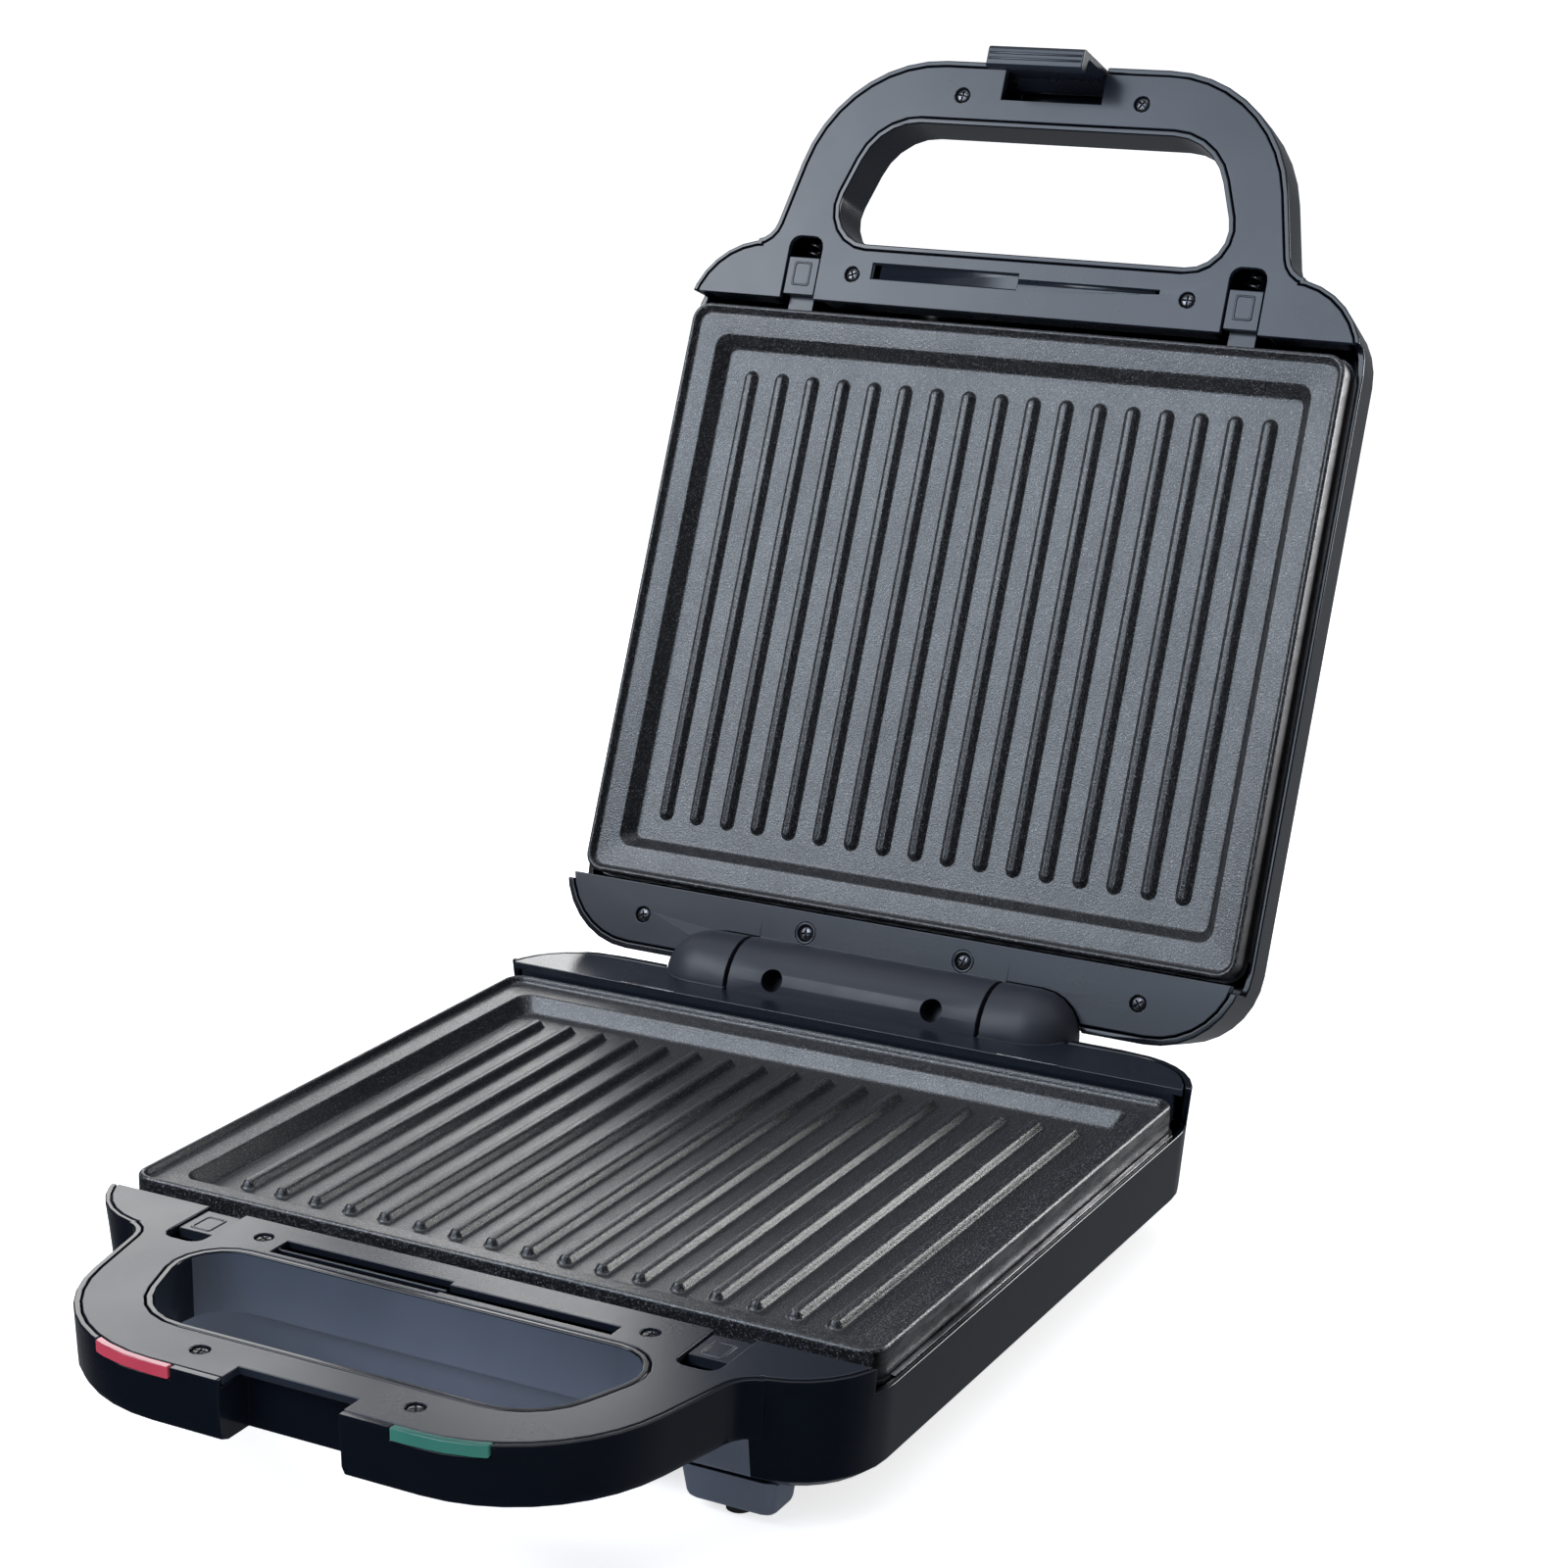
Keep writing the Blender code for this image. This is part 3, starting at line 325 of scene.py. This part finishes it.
def tray_metal():
    """Dull heat-stained aluminium, faintly drawn along its length."""
    s = Shader("tray_metal", (0.10, 0.10, 0.105), 0.5, 0.9)
    s.colour(s.mix(s.ramp(s.noise(45.0, 4.0), 0.3, 0.7, 0.0, 1.0), (0.07, 0.07, 0.075), (0.13, 0.13, 0.135)))
    s.rough(s.ramp(s.noise(160.0, 4.0), 0.3, 0.7, 0.42, 0.58))
    s.bump(s.noise(800.0, 2.0, 0.5, s.stretched((0.05, 1.0, 1.0))), 0.00004, 0.4)
    return s.material


def matte_barrel():
    """The duller moulding of the hinge barrel and the domes beside it, its colour lightened as a painted
    highlight.
    """
    s = Shader("matte_barrel", (0.020, 0.022, 0.030), 0.46)
    # Painted highlight: a colour lighter than the covers' own.
    tone = s.ramp(s.noise(20.0, 3.0), 0.3, 0.7, 0.0, 1.0)
    s.colour(s.mix(tone, (0.026, 0.029, 0.039), (0.036, 0.039, 0.050)))
    s.rough(s.ramp(s.noise(50.0, 4.0), 0.3, 0.7, 0.42, 0.52))
    s.bump(s.noise(2400.0, 2.0), 0.00002, 0.45)
    return s.material


def plain_steel():
    """Drawn steel with a fine, uneven polish."""
    s = Shader("plain_steel", (0.50, 0.50, 0.51), 0.3, 1.0)
    s.rough(s.ramp(s.noise(600.0, 3.0), 0.3, 0.7, 0.22, 0.42))
    s.bump(s.noise(1800.0, 2.0), 0.00002, 0.4)
    return s.material


def black_screw():
    """Blackened steel screws, with their sharp edges lightened as a painted highlight."""
    s = Shader("black_oxide_steel", (0.05, 0.05, 0.055), 0.28, 0.9)
    # Painted highlight: sharp edges get a lighter colour.
    s.colour(s.mix(s.edges(0.51, 0.57), (0.028, 0.028, 0.032), (0.16, 0.16, 0.17)))
    s.rough(s.ramp(s.noise(900.0, 3.0), 0.3, 0.7, 0.2, 0.34))
    s.bump(s.noise(2500.0, 2.0), 0.00002, 0.5)
    return s.material


def heater_sheath():
    """Heat-browned metal tube of a heating element."""
    s = Shader("heater_sheath", (0.10, 0.09, 0.085), 0.5, 0.9)
    s.colour(s.mix(s.ramp(s.noise(60.0, 4.0), 0.35, 0.65, 0.0, 1.0), (0.07, 0.065, 0.06), (0.16, 0.13, 0.11)))
    s.bump(s.noise(1500.0, 2.0), 0.00004, 0.5)
    return s.material


def foot_rubber():
    """Dull black rubber with a fine pitted grain."""
    s = Shader("foot_rubber", (0.012, 0.012, 0.013), 0.7)
    s.rough(s.ramp(s.noise(400.0, 3.0), 0.3, 0.7, 0.6, 0.85))
    s.bump(s.noise(1400.0, 3.0), 0.00008, 0.6)
    return s.material


def lens_plastic(name, colour, glow):
    """Tinted clear plastic, its colour lightened along the edges as a painted highlight."""
    s = Shader(name, colour, 0.12, Coat_Weight=0.4)
    lighter = tuple(min(1.0, c * 1.5 + 0.02) for c in colour)
    # Painted highlight: a lighter tint on the sharp edges.
    s.colour(s.mix(s.edges(0.49, 0.56), colour, lighter))
    s.shader.inputs["Emission Color"].default_value = (*colour, 1.0)
    s.shader.inputs["Emission Strength"].default_value = glow
    s.bump(s.noise(500.0, 2.0), 0.00002, 0.3)
    return s.material


def brown_phenolic():
    """Mottled brown moulding that carries the wires."""
    s = Shader("brown_phenolic", (0.09, 0.05, 0.03), 0.55)
    s.colour(s.mix(s.noise(90.0, 4.0), (0.07, 0.04, 0.025), (0.12, 0.07, 0.045)))
    s.bump(s.noise(1200.0, 2.0), 0.00005, 0.4)
    return s.material


def lamp_glass():
    """Clear, slightly wavy glass of an indicator lamp."""
    s = Shader("lamp_glass", (0.85, 0.8, 0.75), 0.06, Transmission_Weight=0.8)
    s.bump(s.noise(300.0, 1.0), 0.00002, 0.2)
    return s.material


FINISH = {
    "shell": gloss_shell(),
    "cover": satin_cover(),
    "coating": coating(),
    "aluminium": tray_metal(),
    "steel": plain_steel(),
    "black_steel": black_screw(),
    "element": heater_sheath(),
    "rubber": foot_rubber(),
    "red": lens_plastic("red_lens", (0.30, 0.026, 0.048), 0.05),
    "green": lens_plastic("green_lens", (0.018, 0.105, 0.082), 0.05),
    "glass": lamp_glass(),
    "phenolic": brown_phenolic(),
}
RIM_METAL = {
    "lower": bare_aluminium("bare_aluminium", (0.36, 0.36, 0.37), (0.18, 0.42), 0.00006),
    # Painted shade: the lid's rim is the same metal with darker smears; it is also rougher.
    "upper": bare_aluminium("dull_shaded_aluminium", (0.17, 0.17, 0.175), (0.50, 0.62), 0.00001),
}
WALL = matte_wall_painted_light()
BARREL = matte_barrel()


# --- refined copies of the CAD solids ----------------------------------------------------
def flat_areas(bm):
    """For each face, the area of the widest nearly flat patch that it belongs to."""
    areas = {}
    for start in bm.faces:
        if start in areas:
            continue
        patch, queue = {start}, [start]
        while queue:
            face = queue.pop()
            for edge in face.edges:
                for other in edge.link_faces:
                    if other not in patch and other.normal.dot(start.normal) > FLAT_COSINE:
                        patch.add(other)
                        queue.append(other)
        total = sum(face.calc_area() for face in patch)
        for face in patch:
            areas[face] = max(total, areas.get(face, 0.0))
    return areas


def shade_by_flat_area(mesh):
    """Smooth corner normals in which a wide flat face outweighs the small faces round it."""
    bm = bmesh.new()
    bm.from_mesh(mesh)
    bm.normal_update()
    areas = flat_areas(bm)
    normals = []
    for face in bm.faces:
        for loop in face.loops:
            near = [other for other in loop.vert.link_faces if other.normal.dot(face.normal) > SMOOTH_COSINE]
            normals.append(sum((other.normal * areas[other] for other in near), Vector()).normalized())
    bm.free()
    mesh.shade_smooth()
    mesh.normals_split_custom_set(normals)


def refined(node, width):
    """A copy of a CAD node with clean faces and softly rounded edges, which stands for it."""
    mesh = NODES[node].data.copy()
    bm = bmesh.new()
    bm.from_mesh(mesh)
    bmesh.ops.remove_doubles(bm, verts=bm.verts, dist=WELD * MM)
    bmesh.ops.dissolve_limit(bm, angle_limit=FACET_ANGLE, verts=bm.verts, edges=bm.edges)
    bmesh.ops.remove_doubles(bm, verts=bm.verts, dist=SHORTEST_EDGE * MM)
    bmesh.ops.triangulate(bm, faces=bm.faces)
    bm.to_mesh(mesh)
    bm.free()
    mesh.materials.clear()
    mesh.materials.append(FINISH[SLOT_OF[node]])
    mesh.shade_smooth()
    piece = bpy.data.objects.new(node + "_finish", mesh)
    bpy.context.scene.collection.objects.link(piece)
    rounding = piece.modifiers.new("rounded_edges", "BEVEL")
    rounding.width = width * MM
    rounding.segments = ROUNDING_SEGMENTS
    rounding.limit_method = "ANGLE"
    rounding.angle_limit = CORNER_ANGLE
    rounding.use_clamp_overlap = False
    shaped = piece.evaluated_get(bpy.context.evaluated_depsgraph_get())
    piece.data = bpy.data.meshes.new_from_object(shaped)
    piece.modifiers.clear()
    shade_by_flat_area(piece.data)
    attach(piece, BODY_OF[node])
    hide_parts(node)
    return piece


def paint(piece, material, chosen):
    """Give the faces picked by a test of their centre in millimetres and normal another finish."""
    piece.data.materials.append(material)
    for face in piece.data.polygons:
        if chosen(face.center / MM, face.normal):
            face.material_index = 1


def is_wall(centre, normal):
    """The wall behind the handle opening, and the foot blocks."""
    in_opening = abs(centre.x) < OPENING_HALF_WIDTH and OPENING_FRONT < centre.y < OPENING_REAR
    faces_front = normal.y < -0.3
    return (in_opening and faces_front and centre.z < OPENING_TOP) or centre.z < FOOT_BLOCK_TOP


def is_barrel(centre, normal):
    """The round parts about the hinge's axis."""
    _, y, z = Vector(HINGE["pos_m"]) / MM
    return abs(centre.x) < DOME_END and math.hypot(centre.y - y, centre.z - z) < BARREL_REACH


# --- grill plates ------------------------------------------------------------------------
def arc(cx, cy, radius, start, end, steps):
    """Points on an arc, with its start and end in degrees."""
    angles = [math.radians(start + (end - start) * i / steps) for i in range(steps + 1)]
    return [(cx + radius * math.cos(a), cy + radius * math.sin(a)) for a in angles]


def rounded_box(half_width, half_depth, corner, steps):
    """The outline of a rectangle about the origin with round corners."""
    x, y = half_width - corner, half_depth - corner
    right = arc(x, -y, corner, -90, 0, steps) + arc(x, y, corner, 0, 90, steps)
    return right + [(-px, py) for px, py in reversed(right)]


def add_loft(bm, sections, hollow=False):
    """Skin a run of closed outlines; a hollow one joins its last outline to its first."""
    rings = [[bm.verts.new((x, y, z)) for x, y in points] for points, z in sections]
    for low, high in zip(rings, rings[1:] + rings[:1] if hollow else rings[1:]):
        for i in range(len(low)):
            j = (i + 1) % len(low)
            bm.faces.new((low[i], low[j], high[j], high[i]))
    if not hollow:
        bm.faces.new(rings[0][::-1])
        bm.faces.new(rings[-1])


# A plate from its hollow underside over the rim to the well: inset, corner radius and height.
PLATE_PROFILE = (
    (15.6, 4.0, 37.5), (10.6, 5.0, 42.7), (2.4, 4.5, 42.7), (2.4, 4.5, 39.4), (0.0, 6.5, 39.4),
    (0.0, 6.5, 46.9), (0.12, 6.4, 47.45), (0.5, 6.1, 47.9), (1.0, 5.7, 48.08), (1.5, 5.3, 47.95),
    (1.85, 5.0, 47.5), (2.1, 4.8, 46.6), (2.35, 4.7, 45.95), (2.8, 4.6, 45.6), (3.5, 4.5, 45.5),
    (10.4, 4.6, 45.5), (10.8, 4.5, 45.4), (11.1, 4.4, 45.1), (11.3, 4.3, 44.7), (13.9, 3.4, 40.8),
    (14.2, 3.2, 40.35), (14.6, 3.0, 40.1), (15.2, 2.8, 40.0))

# A rib from below the well's floor to its top: inset and height.
RIB_PROFILE = (
    (-0.5, 39.6), (-0.5, 40.02), (-0.2, 40.12), (0.05, 40.4), (0.35, 41.05), (0.75, 41.8), (1.0, 42.15),
    (1.3, 42.4), (1.65, 42.5))


def plate_drawing():
    """The plate in the drawing of a lower half, in millimetres."""
    bm = bmesh.new()
    sections = []
    for inwards, corner, z in PLATE_PROFILE:
        half_width, half_depth = PLATE_HALF_WIDTH - inwards, PLATE_HALF_DEPTH - inwards
        sections.append((rounded_box(half_width, half_depth, corner, PLATE_CORNER_STEPS), z))
    add_loft(bm, sections)
    bmesh.ops.recalc_face_normals(bm, faces=bm.faces)
    for face in bm.faces:
        centre = face.calc_center_median()
        outside = abs(centre.x) > PLATE_HALF_WIDTH - RIM_BAND and abs(face.normal.x) > 0.75
        face.material_index = 1 if outside and RIM_BOTTOM < centre.z < RIM_TOP else 0
    for number in range(RIB_COUNT):
        middle = (number - (RIB_COUNT - 1) / 2) * RIB_PITCH
        sections = []
        for inwards, z in RIB_PROFILE:
            half = RIB_HALF_WIDTH - inwards
            outline = rounded_box(half, RIB_HALF_LENGTH - inwards, half * RIB_ROUNDNESS, RIB_CORNER_STEPS)
            sections.append(([(middle + x, y) for x, y in outline], z))
        add_loft(bm, sections)
    return bm


def drawing_to_world(half):
    """The matrix that puts a drawing of a lower half in place as the base or as the open lid."""
    low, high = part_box("lower_grill_plate")
    base = Matrix.Translation((0.0, (low.y + high.y) / 2 - 0.5 * TAB_REACH * MM, 0.0))
    if half == "lower":
        return base
    hinge = Vector(HINGE["pos_m"])
    local = base.inverted() @ hinge
    shut = Matrix.Translation((0, 0, 2 * (MATING_PLANE * MM))) @ Matrix.Diagonal((1, 1, -1, 1))
    opened = Matrix.Rotation(-math.radians(HINGE["range_deg"][1]), 4, "X")
    return Matrix.Translation(hinge) @ opened @ Matrix.Translation(-local) @ shut


def drawn_piece(name, bm, half, body, materials, sharp=50.0):
    """Put a piece drawn in millimetres in a lower half's drawing in place, with its materials."""
    bmesh.ops.recalc_face_normals(bm, faces=bm.faces)
    mesh = bpy.data.meshes.new(name)
    bm.to_mesh(mesh)
    bm.free()
    mesh.transform(Matrix.Scale(MM, 4))
    place = drawing_to_world(half)
    mesh.transform(place)
    if place.determinant() < 0:
        mesh.flip_normals()
    for material in materials:
        mesh.materials.append(material)
    mesh.shade_smooth()
    mesh.set_sharp_from_angle(angle=math.radians(sharp))
    piece = bpy.data.objects.new(name, mesh)
    bpy.context.scene.collection.objects.link(piece)
    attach(piece, body)
    return piece


def grill_plate(half):
    """A half's coated grill plate with bare metal on the sides of its rim."""
    node = half + "_grill_plate"
    materials = (FINISH["coating"], RIM_METAL[half])
    piece = drawn_piece(node + "_finish", plate_drawing(), half, BODY_OF[node], materials)
    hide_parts(node)


# --- small fittings ----------------------------------------------------------------------
def circle(x, y, radius, count=24):
    """A closed ring of points."""
    return arc(x, y, radius, 0, 360 * (count - 1) / count, count - 1)


def moved(points, x, y):
    """An outline shifted in its plane."""
    return [(px + x, py + y) for px, py in points]


def cross_outline(arm, width, turn):
    """A plus sign turned through an angle, anticlockwise from its right arm."""
    a, w = arm, width / 2
    corners = [(a, -w), (a, w), (w, w), (w, a), (-w, a), (-w, w),
               (-a, w), (-a, -w), (-w, -w), (-w, -a), (w, -a), (w, -w)]
    c, s = math.cos(turn), math.sin(turn)
    return [(c * x - s * y, s * x + c * y) for x, y in corners]


def screw_head(node, half, x, y, deck, turn):
    """A pan head with a cross recess, just below the deck round it."""
    bm = bmesh.new()
    add_loft(bm, [(circle(x, y, radius), deck - HEAD_SINK + z) for radius, z in HEAD_PROFILE])
    head = drawn_piece(node + "_head", bm, half, BODY_OF[node], (FINISH["black_steel"],), 40.0)
    tool = bmesh.new()
    add_loft(tool, [(moved(cross_outline(arm, arm * CROSS_WIDTH, turn), x, y), deck + z)
                    for arm, z in CROSS_PROFILE])
    cut_with(head, drawn_piece("cross_tool", tool, half, BODY_OF[node], ()))
    head.data.shade_smooth()
    head.data.set_sharp_from_angle(angle=math.radians(35.0))


def cut_with(piece, tool):
    """Take the tool's shape out of a piece and throw the tool away."""
    boolean = piece.modifiers.new("cut", "BOOLEAN")
    boolean.operation = "DIFFERENCE"
    boolean.solver = "MANIFOLD"
    boolean.object = tool
    shaped = piece.evaluated_get(bpy.context.evaluated_depsgraph_get())
    piece.data = bpy.data.meshes.new_from_object(shaped)
    piece.modifiers.clear()
    bpy.data.objects.remove(tool)


def screw_collar(half, x, y):
    """The ring that fills the wide bore round a barrel screw."""
    bm = bmesh.new()
    sections = [(circle(x, y, radius, COLLAR_STEPS), REAR_DECK + z) for radius, z in COLLAR_PROFILE]
    add_loft(bm, sections, hollow=True)
    drawn_piece("screw_collar", bm, half, "lid", (FINISH["cover"],), 60.0)


def latch_emboss(half, side, sign):
    """The raised frame on the top of a release latch."""
    bm = bmesh.new()
    sections = []
    for half_width, z in PAD_PROFILE:
        outline = rounded_box(half_width, half_width + PAD_EXTRA_LENGTH, PAD_CORNER, 4)
        sections.append((moved(outline, sign * LATCH_X, LATCH_PAD_Y), LATCH_TOP + z))
    add_loft(bm, sections, hollow=True)
    node = f"{half}_release_latch_{side}"
    drawn_piece(node + "_emboss", bm, half, BODY_OF[node], (FINISH["cover"],))


def strip(name, half, body, material, x_range, y_range, z_range):
    """A thin bar with eased edges."""
    (x0, x1), (y0, y1), (z0, z1) = x_range, y_range, z_range
    middle = ((x0 + x1) / 2, (y0 + y1) / 2)
    wide, deep = (x1 - x0) / 2, (y1 - y0) / 2
    bm = bmesh.new()
    levels = ((STRIP_EASE, z0), (0.0, z0 + STRIP_EASE), (0.0, z1 - STRIP_EASE), (STRIP_EASE, z1))
    add_loft(bm, [(moved(rounded_box(wide - inwards, deep - inwards, STRIP_CORNER, 3), *middle), z)
                  for inwards, z in levels])
    drawn_piece(name, bm, half, body, (material,))


def latch_spring(half, side, sign):
    """A compression coil for a release latch."""
    node = f"{half}_latch_spring_{side}"
    curve = bpy.data.curves.new(node, "CURVE")
    curve.dimensions = "3D"
    curve.bevel_depth = SPRING_WIRE / 2
    curve.bevel_resolution = 2
    curve.use_fill_caps = True
    coil = curve.splines.new("POLY")
    count = SPRING_TURNS * SPRING_STEPS
    coil.points.add(count)
    for i, point in enumerate(coil.points):
        angle = 2 * math.pi * i / SPRING_STEPS
        x = sign * LATCH_X + SPRING_RADIUS * math.cos(angle)
        z = SPRING_HEIGHT + SPRING_RADIUS * math.sin(angle)
        point.co = (x, SPRING_REAR + (SPRING_FRONT - SPRING_REAR) * i / count, z, 1.0)
    wire = bpy.data.objects.new(node, curve)
    bm = bmesh.new()
    bm.from_mesh(wire.to_mesh())
    bpy.data.objects.remove(wire)
    bmesh.ops.remove_doubles(bm, verts=bm.verts, dist=SPRING_WELD)
    piece = drawn_piece(node + "_finish", bm, half, BODY_OF[node], (FINISH["black_steel"],))
    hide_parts(node)
    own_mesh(piece)


def deepen_lid_slot(cover):
    """Sink the wide half of the lid's stepped slot, with a pit at each end of the slot."""
    for name, (x0, x1), (y0, y1), depth in LID_SLOT_CUTS:
        outline = rounded_box((x1 - x0) / 2, (y1 - y0) / 2, SLOT_CORNER, 3)
        outline = moved(outline, (x0 + x1) / 2, (y0 + y1) / 2)
        bm = bmesh.new()
        add_loft(bm, [(outline, FRONT_DECK - depth), (outline, FRONT_DECK + 1.0)])
        cut_with(cover, drawn_piece(name, bm, "upper", "lid", ()))


def barrel_hole(cover, x):
    """A screw-access hole bored into the hinge barrel from above its front."""
    outwards = Vector((0.0, -math.cos(BARREL_HOLE_TILT), math.sin(BARREL_HOLE_TILT)))
    bm = bmesh.new()
    radius = BARREL_HOLE_RADIUS * MM
    bmesh.ops.create_cone(
        bm, cap_ends=True, segments=40, radius1=radius, radius2=radius, depth=BARREL_HOLE_LENGTH * MM)
    mesh = bpy.data.meshes.new("bore")
    bm.to_mesh(mesh)
    bm.free()
    aim = outwards.to_track_quat("Z", "X").to_matrix().to_4x4()
    centre = Vector(HINGE["pos_m"]) + outwards * BARREL_HOLE_OFFSET * MM
    mesh.transform(Matrix.Translation((x * MM, centre.y, centre.z)) @ aim)
    tool = bpy.data.objects.new("bore", mesh)
    bpy.context.scene.collection.objects.link(tool)
    cut_with(cover, tool)


# --- stage -------------------------------------------------------------------------------
def add_camera():
    """The camera, aimed from its place at its target and rolled a little."""
    camera = bpy.data.objects.new("camera", bpy.data.cameras.new("camera"))
    bpy.context.scene.collection.objects.link(camera)
    camera.data.lens = CAMERA_LENS
    camera.data.sensor_width = 36.0
    camera.data.clip_start = 0.05
    place, target = Vector(CAMERA_PLACE), Vector(CAMERA_TARGET)
    aim = (target - place).to_track_quat("-Z", "Y").to_matrix().to_4x4()
    camera.matrix_world = Matrix.Translation(place) @ aim @ Matrix.Rotation(CAMERA_ROLL, 4, "Z")
    bpy.context.scene.camera = camera


def add_softbox(name, place, target, width, height, radiance, colour):
    """A rectangular area light that faces its target."""
    light = bpy.data.lights.new(name, "AREA")
    light.color = colour
    light.shape = "RECTANGLE"
    light.size = width
    light.size_y = height
    light.energy = radiance * math.pi * width * height
    box = bpy.data.objects.new(name, light)
    bpy.context.scene.collection.objects.link(box)
    place = Vector(place)
    aim = (Vector(target) - place).to_track_quat("-Z", "Y").to_matrix().to_4x4()
    box.matrix_world = Matrix.Translation(place) @ aim


def add_world():
    """A dim room with a bright ceiling, lighter behind the press than before it."""
    world = bpy.data.worlds.new("studio")
    world.use_nodes = True
    bpy.context.scene.world = world
    nodes, links = world.node_tree.nodes, world.node_tree.links
    split = nodes.new("ShaderNodeSeparateXYZ")
    links.new(nodes.new("ShaderNodeTexCoord").outputs["Generated"], split.inputs["Vector"])

    def ramp(axis, low, high, start, end):
        node = nodes.new("ShaderNodeMapRange")
        node.interpolation_type = "SMOOTHSTEP"
        for name, number in (("From Min", low), ("From Max", high), ("To Min", start), ("To Max", end)):
            node.inputs[name].default_value = number
        links.new(split.outputs[axis], node.inputs["Value"])
        return node.outputs["Result"]

    total = nodes.new("ShaderNodeMath")
    total.operation = "ADD"
    links.new(ramp("Z", 0.55, 0.95, 0.0, CEILING), total.inputs[0])
    links.new(ramp("Y", -0.3, 0.9, ROOM_FRONT, ROOM_BACK), total.inputs[1])
    links.new(total.outputs["Value"], nodes["Background"].inputs["Strength"])
    nodes["Background"].inputs["Color"].default_value = (0.90, 0.94, 1.0, 1.0)


def add_floor():
    """A wide sheet of pale paper just under the feet."""
    mesh = bpy.data.meshes.new("floor")
    bm = bmesh.new()
    bmesh.ops.create_grid(bm, x_segments=1, y_segments=1, size=FLOOR_HALF_SIZE)
    bm.to_mesh(mesh)
    bm.free()
    floor = bpy.data.objects.new("floor", mesh)
    bpy.context.scene.collection.objects.link(floor)
    floor.location.z = -FLOOR_DROP
    floor.visible_glossy = False
    paper = Shader("studio_paper", (0.93, 0.93, 0.93), 0.9)
    paper.bump(paper.noise(300.0, 2.0), 0.00005, 0.1)
    paper.shader.inputs["Emission Color"].default_value = (1.0, 1.0, 1.0, 1.0)
    paper.shader.inputs["Emission Strength"].default_value = 0.7
    mesh.materials.append(paper.material)


# --- build -------------------------------------------------------------------------------
for node, piece in NODES.items():
    piece.data.materials.clear()
    piece.data.materials.append(FINISH[SLOT_OF[node]])

refined_pieces = {node: refined(node, width) for node, width in ROUNDING.items()}
# Painted light: the lit wall in the handle opening and the foot blocks get the light wall colour.
paint(refined_pieces["base_shell"], WALL, is_wall)
# Painted highlight: the barrel and domes get the lighter barrel colour.
for node in ("base_rear_cover", "lid_rear_cover"):
    paint(refined_pieces[node], BARREL, is_barrel)
deepen_lid_slot(refined_pieces["lid_handle_cover"])
for half, half_body in HALVES:
    grill_plate(half)
    for side, sign in SIDES:
        refined(f"{half}_release_latch_{side}", LATCH_ROUNDING)
        latch_emboss(half, side, sign)
        latch_spring(half, side, sign)
        for number, (x, y) in enumerate(FRONT_SCREWS, 1):
            turn = 0.6 * number + sign
            screw_head(f"{half}_cover_screw_{side}_{number}", half, sign * x, y, FRONT_DECK, turn)
        lip = sorted(sign * x for x in TRAY_LIP_X)
        strip(f"{half}_tray_lip_{side}", half, half_body, RIM_METAL[half], lip, TRAY_LIP_Y, TRAY_LIP_Z)
for side, sign in SIDES:
    (rear_x, rear_y), (barrel_x, barrel_y) = REAR_SCREW, BARREL_SCREW
    screw_head(f"upper_rear_screw_{side}", "upper", sign * rear_x, rear_y, REAR_DECK, 0.3 - sign)
    screw_head(f"upper_barrel_screw_{side}", "upper", sign * barrel_x, barrel_y, REAR_DECK, 0.9 + sign)
    screw_collar("upper", sign * barrel_x, barrel_y)
    barrel_hole(refined_pieces["lid_rear_cover"], sign * barrel_x)
    tab = sorted(sign * x for x in PLATE_TAB_X)
    strip(f"plate_tab_{side}", "lower", "base", RIM_METAL["lower"], tab, PLATE_TAB_Y, PLATE_TAB_Z)
for number in range(GRIP_COUNT):
    edge = LOCK_EDGE + GRIP_START + GRIP_PITCH * number
    grip_y = (edge, edge + GRIP_WIDTH)
    strip(f"lock_grip_{number + 1}", "upper", "lock", FINISH["cover"], GRIP_X, grip_y, GRIP_Z)

add_camera()
add_world()
add_floor()
for softbox in SOFTBOXES:
    add_softbox(*softbox)
bpy.context.scene.view_settings.view_transform = "Standard"
